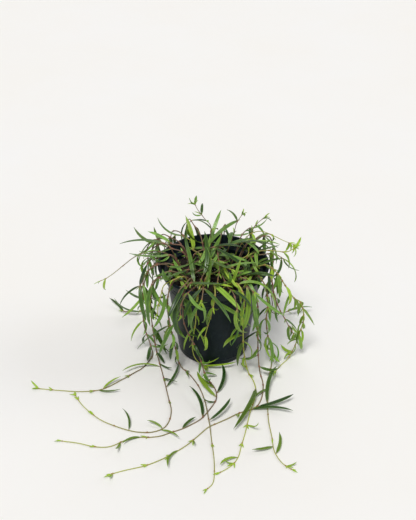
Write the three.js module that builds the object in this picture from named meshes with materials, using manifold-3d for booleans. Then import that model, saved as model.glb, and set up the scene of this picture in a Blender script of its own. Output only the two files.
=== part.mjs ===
// A string of needles in its nursery pot: a thin black pot, the peat that fills it, and the wiry
// vines that stand in the peat, arch over the rim, hang down and trail on the surface.
// Millimetres, +Z up. The origin is the middle of the pot's flat base, so the surface is z = 0.
// The plant's front, where most of the long vines trail, faces -Y.

import * as THREE from "three";
import { mergeVertices } from "three/addons/utils/BufferGeometryUtils.js";
import Module from "manifold-3d";

const wasm = await Module();
wasm.setup();

// Driving dimensions of the pot
const POT_HEIGHT = 110;
const RIM_RADIUS = 60;
const BASE_RADIUS = 38.5;
const SHOULDER_RADIUS = 51;
const SHOULDER_HEIGHT = 97;
const WALL = 1.4;
const BASE_THICKNESS = 1.8;
const BASE_CHAMFER = 1.2;
const DRAIN_RADIUS = 4;
const DRAIN_SIDES = 10;
const DRAIN_RING_RADIUS = 26;
const DRAIN_COUNT = 6;
const FIRST_DRAIN = 0.3;
const POT_SIDES = 32;

// Driving dimensions of the peat
const SOIL_GAP = 0.35;
const SOIL_EDGE_RADIUS = 48;
const SOIL_EDGE_HEIGHT = 93;
const SOIL_CROWN_HEIGHT = 97;
const SOIL_BEVEL = 1.2;
const SOIL_RINGS = [48.2, 38, 22];
const SOIL_LUMP = 0.9;
const ROOT_DEPTH = 14;
const HOLE_RADIUS = 1.55;
const HOLE_GAP = 0.35;
const HOLE_SIDES = 5;

// Driving dimensions of the stems
const STEM_RADIUS = 0.9;
const STEM_TIP = 0.6;
const STEM_MARGIN = 0.35;
const STEM_CLEARANCE = 2.7;
const LIE = 1.25;
const FINE_STEP = 2.5;
const CAD_STEP = 12;

// Driving dimensions of the leaves. A blade is a list of stations, each a share of the leaf's
// length and a share of its width.
const LONG_BLADE = [[0, 0.12], [0.18, 0.88], [0.5, 1], [0.82, 0.76], [1, 0]];
const SHORT_BLADE = [[0, 0.12], [0.26, 1], [0.7, 0.82], [1, 0]];
const LONG_LEAF = 35;
const LEAF_KEEL = 1.15;
const KEEL_LEAST = 0.35;
const KEEL_SHARE = 0.6;
const LEAF_SPACE = 0.45;
const FLOOR_CLEARANCE = 0.3;
const OWN_REACH = 11;
const LOOK_STEP = 1.2;
const FIRST_NODE = 9;
const END_INSET = 0.8;
const LYING_BELOW = 6;
const LYING_STRETCH = 2.6;

// How a leaf's draws spread, for one in the air and for one on a stem that lies on the surface.
// Angles are in degrees.
const FREE = { width: 2.6, spread: 36, chance: 0.56 };
const LYING = { width: 1.5, spread: 24, chance: 0.16 };
const WIDTH_PER_LENGTH = [0.03, 0.065];
const SPREAD_MORE = 34;
const DROOP = [40, 125];
const UPCURVED = 0.12;
const UPCURVE = -0.8;
const SICKLE = 60;
const BOWS = [44, -30, 56, -38];
const SWAY = 50;

// How far a leaf sinks under its own weight in the crown, the share of it that one lower down sinks,
// and the share of its full size that a leaf has at the growing end of a vine
const LIMP = 0.75;
const HANGING_LIMP = 0.13;
const CROWN_ABOVE = 98;
const TIP_LEAF = 0.4;
const GROWN_TIP_LEAF = 0.8;

// Small vector helpers, on [x, y, z] lists
const add = (a, b) => [a[0] + b[0], a[1] + b[1], a[2] + b[2]];
const sub = (a, b) => [a[0] - b[0], a[1] - b[1], a[2] - b[2]];
const scale = (a, k) => [a[0] * k, a[1] * k, a[2] * k];
const dot = (a, b) => a[0] * b[0] + a[1] * b[1] + a[2] * b[2];
const size = (a) => Math.sqrt(dot(a, a));
const unit = (a) => scale(a, 1 / (size(a) || 1));
const mix = (a, b, t) => add(scale(a, 1 - t), scale(b, t));
const radians = (degrees) => (degrees * Math.PI) / 180;
const UP = [0, 0, 1];

function cross(a, b) {
  return [
    a[1] * b[2] - a[2] * b[1],
    a[2] * b[0] - a[0] * b[2],
    a[0] * b[1] - a[1] * b[0],
  ];
}

// What is left of a vector once its share along a unit axis is taken away, as a unit vector
const square = (a, axis) => unit(sub(a, scale(axis, dot(a, axis))));

// A vector turned about a unit axis
function turn(a, axis, angle) {
  const cos = Math.cos(angle);
  const along = scale(axis, dot(axis, a) * (1 - cos));
  return add(add(scale(a, cos), scale(cross(axis, a), Math.sin(angle))), along);
}

// Repeatable draws between 0 and 1
function draws(seed) {
  let state = seed;
  const next = () => {
    state = (state * 16807) % 2147483647;
    return state / 2147483647;
  };
  for (let i = 0; i < 5; i++) next();
  return next;
}

// A value of a range at a share of the way along it
const between = (range, share) => range[0] + (range[1] - range[0]) * share;

// The pot's outside and inside as [radius, height] points, from the base up to the lip
const POT_OUTSIDE = [
  [BASE_RADIUS, 0],
  [SHOULDER_RADIUS, SHOULDER_HEIGHT],
  [SHOULDER_RADIUS + 4, SHOULDER_HEIGHT + 1],
  [RIM_RADIUS - 1.6, POT_HEIGHT - 3],
  [RIM_RADIUS, POT_HEIGHT - 2],
  [RIM_RADIUS, POT_HEIGHT - 0.8],
  [RIM_RADIUS - 0.8, POT_HEIGHT],
];
const POT_INSIDE = [
  [BASE_RADIUS - WALL, BASE_THICKNESS],
  [SHOULDER_RADIUS - WALL, SHOULDER_HEIGHT + 1],
  [SHOULDER_RADIUS + 2.5, SHOULDER_HEIGHT + 2.2],
  [RIM_RADIUS - 3.2, POT_HEIGHT - 1.2],
  [RIM_RADIUS - 2.6, POT_HEIGHT],
];

// The radius of a profile at a height
function radiusAt(profile, z) {
  let i = 1;
  while (i + 1 < profile.length && profile[i][1] < z) i++;
  const [r0, z0] = profile[i - 1];
  const [r1, z1] = profile[i];
  const share = Math.min(1, Math.max(0, (z - z0) / (z1 - z0)));
  return r0 + (r1 - r0) * share;
}

// The peat's top, a low mound
function soilHeight(radius) {
  const out = Math.min(1, radius / SOIL_EDGE_RADIUS);
  return SOIL_CROWN_HEIGHT - (SOIL_CROWN_HEIGHT - SOIL_EDGE_HEIGHT) * out * out;
}

// True where a point keeps a margin to the pot, the peat and the surface
function clearOfPot(p, margin) {
  if (p[2] < margin) return false;
  const radius = Math.hypot(p[0], p[1]);
  if (p[2] > POT_HEIGHT + margin) return true;
  if (radius > radiusAt(POT_OUTSIDE, p[2]) + margin) return true;
  if (radius > radiusAt(POT_INSIDE, p[2]) - margin) return false;
  return p[2] > soilHeight(radius) + SOIL_LUMP + margin;
}

// The long vines that give the plant its outline. Each has its root's place in the peat, and the
// points that it passes on its way out, over the rim, down and along the surface. A few carry long
// leaves that stand out from a distance, from a point near the stem to a tip.
const PLACED_VINES = [
  {
    name: "vine_far_left",
    root: [-30, -6],
    path: [
      [-37, -8, 108], [-48, -10, 115], [-62, -10, 114], [-71, -12, 103], [-76, -13, 80], [-77, -14, 50],
      [-75, -15, 30], [-70, -17, 12], [-68, -24, LIE], [-77, -43, LIE], [-86, -52, LIE], [-98, -63, LIE],
      [-118, -79, LIE], [-139, -83, LIE], [-165, -81, LIE], [-187, -78, LIE],
    ],
    internode: 15,
    leaf: [16, 34],
    long: [
      { near: [-76, -13, 78], tip: [-58, -28, 54], width: 5, droop: 30 },
      { near: [-118, -79, 1], tip: [-100, -63, 5], width: 2.4, droop: 12 },
      { near: [-122, -80, 1], tip: [-98, -84, 4], width: 2.7, droop: 10 },
    ],
  },
  {
    name: "vine_left_bundle",
    root: [-22, -18],
    path: [
      [-32, -22, 108], [-46, -26, 116], [-60, -30, 109], [-66, -28, 88], [-67, -27, 58], [-65, -26, 30],
      [-62, -30, 9], [-58, -42, LIE], [-53, -65, LIE], [-47, -96, LIE], [-44, -111, LIE], [-45, -126, LIE],
      [-50, -138, LIE], [-60, -144, LIE], [-71, -145, LIE], [-86, -142, LIE], [-109, -131, LIE],
      [-123, -120, LIE], [-137, -104, LIE], [-146, -89, LIE],
    ],
    internode: 12,
    leaf: [16, 32],
    long: [
      { near: [-66, -27, 44], tip: [-50, -42, 18], width: 6, droop: -30 },
      { near: [-58, -43, 1], tip: [-101, -55, 6], width: 2.6, droop: 24 },
      { near: [-53, -68, 1], tip: [-37, -40, 4], width: 2.9, droop: 30 },
      { near: [-51, -139, 1], tip: [-68, -131, 5], width: 2.6, droop: 12 },
      { near: [-54, -141, 1], tip: [-34, -158, 7], width: 2.6, droop: 12 },
      { near: [-86, -142, 1], tip: [-93, -116, 8], width: 2.3, droop: 18 },
    ],
  },
  {
    name: "vine_front_sweep",
    root: [-12, -24],
    path: [
      [-17, -36, 108], [-24, -48, 116], [-31, -57, 109], [-32, -57, 90], [-31, -54, 70], [-25, -55, 52],
      [-19, -57, 40], [-13, -60, 22], [-9, -63, 7], [-3, -69, LIE], [2, -80, LIE], [3, -94, LIE],
      [-2, -107, LIE], [-12, -124, LIE], [-22, -133, LIE], [-32, -140, LIE], [-43, -145, LIE],
      [-53, -150, LIE], [-65, -152, LIE], [-77, -152, LIE], [-88, -156, LIE], [-103, -165, LIE],
      [-118, -165, LIE], [-135, -160, LIE], [-152, -157, LIE],
    ],
    internode: 13,
    leaf: [16, 36],
    long: [
      { near: [-24, -48, 116], tip: [13, -55, 118], width: 5.2, droop: 46 },
      { near: [-31, -57, 107], tip: [-25, -72, 76], width: 6.6, droop: 54 },
      { near: [-32, -57, 94], tip: [-6, -74, 110], width: 5, droop: 20 },
      { near: [1, -77, 1], tip: [-16, -64, 6], width: 3.2, droop: 16 },
      { near: [3, -86, 1], tip: [11, -47, 10], width: 3.8, droop: 34 },
      { near: [3, -93, 1], tip: [-19, -58, 8], width: 4, droop: 24 },
      { near: [-11, -122, 1], tip: [-25, -80, 7], width: 3.8, droop: 20 },
      { near: [-32, -140, 1], tip: [-18, -126, 5], width: 3, droop: 14 },
      { near: [-74, -152, 1], tip: [-92, -164, 4], width: 2.6, droop: 10 },
    ],
  },
  {
    name: "vine_front_long",
    root: [-26, -28],
    path: [
      [-32, -35, 109], [-40, -43, 116.5], [-46, -50, 108], [-48, -49, 84], [-45, -47, 55], [-41, -46, 30],
      [-38, -45, 10], [-33, -46, LIE], [-26, -55, LIE], [-18, -70, LIE], [-13, -83, LIE], [-9, -99, 1.6],
      [-8, -108, 3.6], [-7, -116, 4.3], [-6, -124, 4], [-5, -132, 4.3], [-4, -140, 4.3], [-3, -150, 2],
      [-2, -160, LIE], [0, -183, LIE], [0, -205, LIE], [-2, -215, LIE], [-7, -221, LIE],
    ],
    internode: 12,
    leaf: [16, 30],
    long: [
      { near: [-46, -48, 60], tip: [-84, -44, 24], width: 5, droop: 44 },
      { near: [-5, -134, 4], tip: [19, -102, 9], width: 3.3, droop: 24 },
    ],
  },
  {
    name: "vine_low_sweep",
    root: [15, -12],
    path: [
      [22, -26, 108], [30, -39, 116], [39, -49, 112], [45, -54, 96], [46, -53, 78], [47, -50, 52],
      [48, -50, 26], [50, -57, 7], [53, -69, LIE], [52, -85, LIE], [49, -98, LIE], [43, -109, LIE],
      [34, -113, LIE], [24, -118, LIE], [14, -125, LIE], [3, -132, LIE], [-6, -138, LIE], [-15, -149, LIE],
      [-26, -162, LIE], [-37, -172, LIE], [-52, -183, LIE], [-67, -191, LIE], [-86, -197, LIE],
      [-99, -202, LIE],
    ],
    internode: 11,
    leaf: [16, 34],
    long: [
      { near: [44, -108, 1], tip: [85, -96, 8], width: 4.1, droop: 18 },
      { near: [36, -112, 1], tip: [82, -118, 6], width: 3.8, droop: 16 },
      { near: [-36, -171, 1], tip: [-46, -192, 4], width: 2.7, droop: 10 },
    ],
  },
  {
    name: "vine_front_centre",
    root: [10, -30],
    path: [
      [17, -40, 109], [25, -51, 116], [31, -59, 106], [31, -57, 90], [31, -54, 65], [32, -53, 36],
      [35, -53, 14], [39, -56, LIE], [43, -66, LIE], [45, -80, LIE], [43, -96, LIE], [41, -105, 3.4],
      [39, -112, 4.4], [37, -119, 3.2], [35, -128, LIE], [31, -148, LIE], [27, -164, LIE], [24, -178, LIE],
      [19, -188, LIE], [12, -195, LIE], [5, -200, LIE],
    ],
    internode: 11,
    leaf: [18, 36],
    long: [
      { near: [44, -78, 1], tip: [20, -147, 4], width: 4.9, droop: 40 },
      { near: [24, -178, 1], tip: [4, -194, 5], width: 2.9, droop: 12 },
      { near: [25, -51, 116], tip: [63, -46, 102], width: 5.6, droop: 72 },
      { near: [31, -54, 52], tip: [8, -66, 46], width: 4.8, droop: 50 },
    ],
  },
  {
    name: "vine_right_front",
    root: [29, -15],
    path: [
      [37, -24, 109], [46, -35, 116.5], [54, -43, 107], [57, -42, 84], [56, -41, 66], [58, -38, 44],
      [63, -33, 17], [64, -38, 2], [61, -54, LIE], [58, -72, LIE], [57, -90, LIE], [56, -111, LIE],
      [56, -130, LIE], [58, -152, LIE], [59, -170, LIE], [64, -184, LIE], [70, -192, LIE], [75, -196, LIE],
    ],
    internode: 13,
    leaf: [18, 38],
    long: [
      { near: [37, -24, 110], tip: [68, -38, 112], width: 6, droop: 104 },
      { near: [57, -104, 1], tip: [68, -52, 12], width: 4, droop: 30 },
      { near: [59, -170, 1], tip: [66, -148, 5], width: 3.3, droop: 10 },
      { near: [58, -165, 1], tip: [37, -174, 5], width: 3.3, droop: 10 },
    ],
  },
  {
    name: "vine_right_hoop",
    root: [34, -2],
    path: [
      [44, -9, 109], [56, -15, 116.5], [67, -19, 109], [77, -21, 93], [86, -22, 79], [93, -22, 74],
      [97, -22, 62], [98, -22, 50], [96, -22, 38], [92, -22, 20], [86, -26, 6], [80, -32, LIE],
      [73, -41, LIE], [68, -49, LIE],
    ],
    internode: 9,
    leaf: [18, 32],
  },
  {
    name: "vine_right_short",
    root: [35, -24],
    path: [
      [44, -26, 109], [54, -29, 116], [61, -33, 107], [63, -34, 95], [66, -34, 84], [70, -34, 73],
      [76, -34, 61], [82, -33, 48], [87, -32, 38],
    ],
    internode: 10,
    leaf: [22, 40],
  },
  {
    name: "vine_right_top",
    root: [26, 6],
    path: [
      [32, 5, 108], [44, 3, 121], [57, 2, 124], [69, 2, 123], [78, 2, 122], [87, 4, 126],
    ],
    internode: 13,
    leaf: [14, 26],
  },
  {
    name: "vine_right_tendril",
    root: [20, 18],
    path: [
      [27, 23, 112], [38, 28, 127], [51, 30, 131], [64, 30, 126], [76, 29, 120], [88, 28, 115],
    ],
    internode: 19,
    leaf: [12, 20],
  },
  {
    name: "sprig_top_left",
    root: [-2, 22],
    path: [
      [-2, 26, 112], [-3, 29, 127], [-3, 30, 138], [-9, 30, 146], [-13, 30, 152], [-17, 30, 158],
      [-20, 30, 165],
    ],
    internode: 12,
    leaf: [12, 20],
  },
  {
    name: "sprig_top_middle",
    root: [13, 30],
    path: [
      [17, 31, 110], [22, 30, 127], [25, 30, 141], [31, 32, 151],
    ],
    internode: 12,
    leaf: [20, 32],
  },
  {
    name: "sprig_top_right",
    root: [30, 31],
    path: [
      [37, 37, 110], [42, 40, 120], [44, 40, 129], [49, 40, 136], [56, 40, 143],
    ],
    internode: 12,
    leaf: [14, 26],
  },
  {
    name: "vine_left_tendril",
    root: [-33, 8],
    path: [
      [-44, 8, 112], [-58, 6, 120], [-72, 3, 121], [-85, 1, 116], [-97, 0, 106], [-109, 0, 95],
      [-117, 0, 89], [-123, 0, 86],
    ],
    internode: 26,
    leaf: [16, 26],
  },
  {
    name: "vine_front_short",
    root: [0, -33],
    path: [
      [0, -43, 110], [1, -55, 117], [1, -64, 108], [-3, -64, 86], [-6, -63, 73], [-9, -61, 57],
    ],
    internode: 14,
    leaf: [22, 40],
    long: [
      { near: [0, -48, 113], tip: [29, -74, 94], width: 6.2, droop: 80 },
      { near: [0, -64, 104], tip: [30, -71, 86], width: 5.4, droop: 50 },
    ],
  },
  {
    name: "vine_base_curl",
    root: [-11, -36],
    path: [
      [-12, -45, 110], [-14, -54, 116.5], [-17, -62, 106], [-18, -60, 90], [-19, -51, 68], [-21, -44, 48],
      [-23, -40, 28], [-21, -40, 14], [-16, -41, 6], [-10, -44, 3.5],
    ],
    internode: 26,
    leaf: [16, 30],
    long: [{ near: [-11, -44, 3.5], tip: [26, -41, 6], width: 3.2, droop: 12 }],
  },
];

// The vines that fill the plant in between and behind. Each kind says how many there are, how far
// they grow, how high they arch, and how closely their leaves stand.
const GROWN_KINDS = [
  {
    kind: "back_vine", count: 3, bearings: [35, 145], rootRadius: 30, length: [170, 215],
    crest: [114, 120], inward: false, internode: 24, leaf: [24, 42],
  },
  {
    kind: "cover_vine", count: 7, bearings: [75, 245], rootRadius: 33, length: [66, 88],
    crest: [104, 116], inward: true, internode: 12, leaf: [32, 54],
  },
  {
    kind: "right_vine", count: 2, bearings: [8, 62], rootRadius: 37, length: [50, 80],
    crest: [113, 117], inward: false, internode: 18, leaf: [24, 42],
  },
  {
    kind: "left_vine", count: 8, bearings: [125, 245], rootRadius: 37, length: [70, 150],
    crest: [113, 121], inward: false, internode: 15, leaf: [28, 52],
  },
  {
    kind: "front_vine", count: 2, bearings: [262, 284], rootRadius: 38, length: [38, 46],
    crest: [112, 116], inward: false, internode: 11, leaf: [36, 54],
  },
  {
    kind: "crown_vine", count: 6, bearings: [95, 285], rootRadius: 22, length: [56, 88],
    crest: [106, 122], inward: false, internode: 13, leaf: [32, 54],
  },
];

// A smooth curve through hand-placed points, as points a fine step apart
function smooth(points) {
  const fine = [];
  for (let i = 0; i + 1 < points.length; i++) {
    const b = points[i];
    const c = points[i + 1];
    const a = i > 0 ? points[i - 1] : sub(scale(b, 2), c);
    const d = i + 2 < points.length ? points[i + 2] : sub(scale(c, 2), b);
    const count = Math.max(1, Math.round(size(sub(c, b)) / FINE_STEP));
    for (let k = 0; k < count; k++) {
      const t = k / count;
      const bend = add(scale(b, 2), scale(sub(c, a), t));
      const second = add(add(scale(a, 2), scale(b, -5)), add(scale(c, 4), scale(d, -1)));
      const third = add(add(scale(b, 3), scale(a, -1)), add(scale(c, -3), d));
      fine.push(scale(add(add(bend, scale(second, t * t)), scale(third, t * t * t)), 0.5));
    }
  }
  fine.push(points[points.length - 1]);
  return fine;
}

// The fewest of a curve's points that keep it within a tolerance
function thin(points, tolerance) {
  const last = points.length - 1;
  const chord = unit(sub(points[last], points[0]));
  let far = 0;
  let worst = tolerance;
  for (let i = 1; i < last; i++) {
    const reach = sub(points[i], points[0]);
    const away = size(sub(reach, scale(chord, dot(reach, chord))));
    if (away > worst) {
      worst = away;
      far = i;
    }
  }
  if (far === 0) return [points[0], points[last]];
  const front = thin(points.slice(0, far + 1), tolerance);
  return front.slice(0, -1).concat(thin(points.slice(far), tolerance));
}

// The least distance between two straight segments
function segmentDistance(p, q, a, b) {
  const u = sub(q, p);
  const v = sub(b, a);
  const w = sub(p, a);
  const uu = dot(u, u);
  const uv = dot(u, v);
  const vv = dot(v, v);
  const uw = dot(u, w);
  const vw = dot(v, w);
  const spread = uu * vv - uv * uv;
  let s = spread > 1e-9 ? (uv * vw - vv * uw) / spread : 0;
  s = Math.min(1, Math.max(0, s));
  let t = (uv * s + vw) / vv;
  t = Math.min(1, Math.max(0, t));
  s = Math.min(1, Math.max(0, (uv * t - uw) / uu));
  return size(sub(add(p, scale(u, s)), add(a, scale(v, t))));
}

// The least distance from a point to a straight segment
function awayFrom(p, from, to) {
  const reach = sub(to, from);
  const t = dot(sub(p, from), reach) / (dot(reach, reach) || 1);
  return size(sub(p, add(from, scale(reach, Math.min(1, Math.max(0, t))))));
}

const ROOT_RISE = 2;

// The part of every vine that stands in its hole, and a little of it above
function rootPoints(root) {
  const top = soilHeight(Math.hypot(root[0], root[1]));
  return [
    [root[0], root[1], top - ROOT_DEPTH + HOLE_GAP],
    [root[0], root[1], top + ROOT_RISE],
  ];
}

const vines = [];

// True where a stem can run from one point to the next
function stemClear(from, to) {
  for (const t of [0.25, 0.5, 0.75, 1]) {
    if (!clearOfPot(mix(from, to, t), STEM_RADIUS + STEM_MARGIN)) return false;
  }
  for (const vine of vines) {
    for (let i = 0; i + 1 < vine.stem.length; i++) {
      if (segmentDistance(from, to, vine.stem[i], vine.stem[i + 1]) < STEM_CLEARANCE) return false;
    }
  }
  return true;
}

// How a stem that finds its own way runs. Its pitch, in degrees, is what it climbs out of the peat
// with, then levels out to below its crest, tips over the rim, hangs ever more steeply, and comes
// down to the surface with.
const CLIMB = 62;
const LEVEL = 4;
const TIP_OVER = -14;
const HANG = -22;
const HANG_PER_MM = 3.4;
const STEEPEST = -84;
const LANDING = -10;
const CREST_BAND = 6;
const RIM_MARGIN = 3;
const LANDING_HEIGHT = 12;
const LANDING_REACH = 18;
const GROUNDED = 4;
const NOD = 20;
const WANDER = 44;
const HOMING = 0.25;

// Where its way is taken it tries these, each so many degrees aside and above, and ends where none
// is free
const DETOURS = [
  [0, 0], [18, 0], [-18, 0], [0, 20], [0, -18], [36, 12], [-36, 12], [0, 42], [55, 0], [-55, 0],
  [30, -25], [-30, -25], [30, 40], [-30, 40], [80, 15], [-80, 15], [0, 65],
];

function pitchAt(p, crest) {
  const radius = Math.hypot(p[0], p[1]);
  if (p[2] < GROUNDED) return 0;
  if (p[2] < LANDING_HEIGHT && radius > RIM_RADIUS - LANDING_REACH) return LANDING;
  if (radius > RIM_RADIUS + RIM_MARGIN) {
    return Math.max(STEEPEST, HANG - (radius - RIM_RADIUS) * HANG_PER_MM);
  }
  if (p[2] <= crest - CREST_BAND) return CLIMB;
  return radius < RIM_RADIUS ? LEVEL : TIP_OVER;
}

function growStem(root, heading, crest, length, draw) {
  const stem = rootPoints(root);
  let run = 0;
  let bearing = heading;
  while (run < length) {
    const p = stem[stem.length - 1];
    bearing += (draw() - 0.5) * WANDER;
    bearing += (heading - bearing) * HOMING;
    const pitch = pitchAt(p, crest) + (draw() - 0.5) * NOD;
    let next = null;
    for (const [aside, above] of DETOURS) {
      const flat = Math.cos(radians(pitch + above));
      const step = [
        flat * Math.cos(radians(bearing + aside)),
        flat * Math.sin(radians(bearing + aside)),
        Math.sin(radians(pitch + above)),
      ];
      const to = add(p, scale(step, CAD_STEP));
      if (p[2] < LANDING_HEIGHT) to[2] = Math.max(to[2], LIE);
      if (stemClear(p, to)) {
        next = to;
        break;
      }
    }
    if (!next) break;
    stem.push(next);
    run += CAD_STEP;
  }
  return stem;
}

for (const [index, placed] of PLACED_VINES.entries()) {
  const path = smooth(rootPoints(placed.root).slice(1).concat(placed.path));
  for (const p of path) p[2] = Math.max(p[2], LIE);
  vines.push({
    name: placed.name,
    root: placed.root,
    stem: rootPoints(placed.root).slice(0, 1).concat(thin(path, 1)),
    internode: placed.internode,
    leaf: placed.leaf,
    long: placed.long || [],
    limp: placed.name.startsWith("sprig") ? 0 : LIMP,
    tipLeaf: TIP_LEAF,
    draw: draws(101 + 37 * index),
  });
}

// A free place for a root, the nearest on a spiral to where it is wanted
const ROOT_TRIES = 60;
const ROOT_STEP = 0.36;
const ROOT_TURN = 2.4;
const ROOT_SPACE = 5;
const ROOT_REACH = 42;
const ROOT_ROOM = 4;

function rootFree(x, y) {
  const top = rootPoints([x, y])[1];
  const near = vines.some((vine) => Math.hypot(vine.root[0] - x, vine.root[1] - y) < ROOT_SPACE);
  return Math.hypot(x, y) < ROOT_REACH && !near && stemClear(top, add(top, [0, 0, ROOT_ROOM]));
}

function freeRoot(radius, heading) {
  for (let k = 0; k < ROOT_TRIES; k++) {
    const x = radius * Math.cos(radians(heading)) + ROOT_STEP * k * Math.cos(ROOT_TURN * k);
    const y = radius * Math.sin(radians(heading)) + ROOT_STEP * k * Math.sin(ROOT_TURN * k);
    if (rootFree(x, y)) return [x, y];
  }
  return null;
}

for (const [group, kind] of GROWN_KINDS.entries()) {
  for (let i = 0; i < kind.count; i++) {
    const draw = draws(5003 + 911 * group + 53 * i);
    const share = (i + 0.5 * (draw() - 0.5)) / (kind.count - 1);
    const heading = between(kind.bearings, share);
    const radius = kind.rootRadius * (0.8 + 0.3 * draw());
    const crest = between(kind.crest, draw());
    const length = between(kind.length, draw());
    const root = freeRoot(radius, heading);
    if (!root) continue;
    const stem = growStem(root, kind.inward ? heading + 180 : heading, crest, length, draw);
    vines.push({
      name: `${kind.kind}_${String(i + 1).padStart(2, "0")}`,
      root,
      stem,
      internode: kind.internode,
      leaf: kind.leaf,
      long: [],
      limp: LIMP,
      tipLeaf: GROWN_TIP_LEAF,
      draw,
    });
  }
}

// Corner points of a stem, one three-cornered ring at each of its points
function stemRings(stem) {
  const rings = [];
  let side = [1, 0, 0];
  for (let i = 0; i < stem.length; i++) {
    const before = i > 0 ? unit(sub(stem[i], stem[i - 1])) : null;
    const after = i + 1 < stem.length ? unit(sub(stem[i + 1], stem[i])) : null;
    const along = unit(add(before || after, after || before));
    side = square(side, along);
    const other = cross(along, side);
    const radius = i + 1 < stem.length ? STEM_RADIUS : STEM_RADIUS * STEM_TIP;
    rings.push([0, 1, 2].map((k) => {
      const angle = radians(120 * k);
      const out = add(scale(side, Math.cos(angle)), scale(other, Math.sin(angle)));
      return add(stem[i], scale(out, radius));
    }));
  }
  return rings;
}

// Corner points of a leaf: a keel below and an edge on each side at each station, then the tip.
// It bends down along its length by its droop and aside by its sickle, both in degrees. A
// positive grow gives the leaf with some room around it.
function leafRings(leaf, grow) {
  const rings = [];
  const blade = leaf.length < LONG_LEAF ? SHORT_BLADE : LONG_BLADE;
  let p = leaf.base;
  let along = leaf.along;
  let face = leaf.face;
  for (const [i, [station, width]] of blade.entries()) {
    const side = cross(face, along);
    const half = (leaf.width / 2) * width + grow;
    const thick = LEAF_KEEL * (KEEL_LEAST + (1 - KEEL_LEAST) * width);
    const lift = (1 - KEEL_SHARE) * thick + grow;
    rings.push([
      add(p, scale(face, -KEEL_SHARE * thick - grow)),
      add(add(p, scale(side, half)), scale(face, lift)),
      add(add(p, scale(side, -half)), scale(face, lift)),
    ]);
    if (i + 1 === blade.length) break;
    const share = blade[i + 1][0] - station;
    const droop = radians(leaf.droop * share);
    along = turn(along, side, droop / 2);
    face = turn(face, side, droop / 2);
    along = turn(along, face, radians(leaf.sickle * share));
    p = add(p, scale(along, leaf.length * share));
    const after = cross(face, along);
    along = turn(along, after, droop / 2);
    face = turn(face, after, droop / 2);
  }
  if (grow === 0) rings[rings.length - 1] = [p, p, p];
  return rings;
}

// What a run of rings takes up: its long lines, its faces and its box
function bulk(rings) {
  const lines = [];
  const faces = [];
  const low = [Infinity, Infinity, Infinity];
  const high = [-Infinity, -Infinity, -Infinity];
  for (let i = 0; i < rings.length; i++) {
    for (let k = 0; k < 3; k++) {
      for (let axis = 0; axis < 3; axis++) {
        low[axis] = Math.min(low[axis], rings[i][k][axis]);
        high[axis] = Math.max(high[axis], rings[i][k][axis]);
      }
      if (i + 1 === rings.length) continue;
      const m = (k + 1) % 3;
      lines.push([rings[i][k], rings[i + 1][k]]);
      faces.push([rings[i][k], rings[i][m], rings[i + 1][k]]);
      faces.push([rings[i][m], rings[i + 1][m], rings[i + 1][k]]);
    }
  }
  return { lines, faces, low, high };
}

// True where a line passes through a face
function pierces(line, face) {
  const reach = sub(line[1], line[0]);
  const u = sub(face[1], face[0]);
  const v = sub(face[2], face[0]);
  const h = cross(reach, v);
  const lean = dot(u, h);
  if (Math.abs(lean) < 1e-9) return false;
  const s = sub(line[0], face[0]);
  const a = dot(s, h) / lean;
  if (a < 0 || a > 1) return false;
  const q = cross(s, u);
  const b = dot(reach, q) / lean;
  if (b < 0 || a + b > 1) return false;
  const t = dot(v, q) / lean;
  return t >= 0 && t <= 1;
}

function boxesMeet(a, b) {
  return [0, 1, 2].every((k) => a.low[k] <= b.high[k] && b.low[k] <= a.high[k]);
}

function cuts(a, b) {
  return a.lines.some((line) => b.faces.some((face) => pierces(line, face)));
}

const placedBulks = [];

// Notes what a run of rings takes up, and the line or point of its stem that it belongs to
function settle(rings, vine, from, to) {
  placedBulks.push({ ...bulk(rings), vine, from, to });
}

for (const vine of vines) {
  const rings = stemRings(vine.stem);
  for (let i = 0; i + 1 < rings.length; i++) {
    settle(rings.slice(i, i + 2), vine, vine.stem[i], vine.stem[i + 1]);
  }
}

// True where a leaf, with some room around it, meets neither the pot, the peat, the surface nor
// any other vine
function leafFits(leaf, vine) {
  const rings = leafRings(leaf, LEAF_SPACE);
  const room = bulk(rings);
  const seams = rings.map((ring) => ring.map((p, k) => mix(p, ring[(k + 1) % 3], 0.5)));
  for (const [from, to] of room.lines.concat(bulk(seams).lines)) {
    const count = Math.ceil(size(sub(to, from)) / LOOK_STEP);
    for (let i = 0; i <= count; i++) {
      if (!clearOfPot(mix(from, to, i / count), FLOOR_CLEARANCE)) return false;
    }
  }
  return !placedBulks.some((other) => {
    if (other.vine === vine && awayFrom(leaf.base, other.from, other.to) < OWN_REACH) return false;
    return boxesMeet(room, other) && (cuts(room, other) || cuts(other, room));
  });
}

// Where the leaves stand on a stem: a place and a direction at each node, the first above the
// peat, and how much of its full size a leaf has there, less towards the growing end
function leafNodes(vine) {
  const nodes = [];
  let toNext = FIRST_NODE;
  for (let i = 1; i + 1 < vine.stem.length; i++) {
    const reach = sub(vine.stem[i + 1], vine.stem[i]);
    const length = size(reach);
    const along = unit(reach);
    let done = 0;
    while (done + toNext < length) {
      done += toNext;
      nodes.push({ place: add(vine.stem[i], scale(along, done)), along });
      toNext = vine.internode * (0.75 + 0.5 * vine.draw());
      if (vine.stem[i][2] < LYING_BELOW) toNext *= LYING_STRETCH;
    }
    toNext -= length - done;
  }
  const last = vine.stem.length - 1;
  const end = unit(sub(vine.stem[last], vine.stem[last - 1]));
  nodes.push({ place: sub(vine.stem[last], scale(end, END_INSET)), along: end });
  nodes.forEach((node, k) => {
    node.grown = between([1, vine.tipLeaf], (k / nodes.length) ** 3);
  });
  return nodes;
}

// Ways to turn a leaf until it fits: degrees about the stem, and a share of its droop
const TRIES = [
  [0, 1], [26, 0.9], [-26, 0.9], [50, 0.7], [-50, 0.7], [10, -0.6], [76, 0.5], [-76, 0.5],
  [105, 0.6], [-105, 0.6], [140, 0.3], [-140, 0.3],
];

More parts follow.
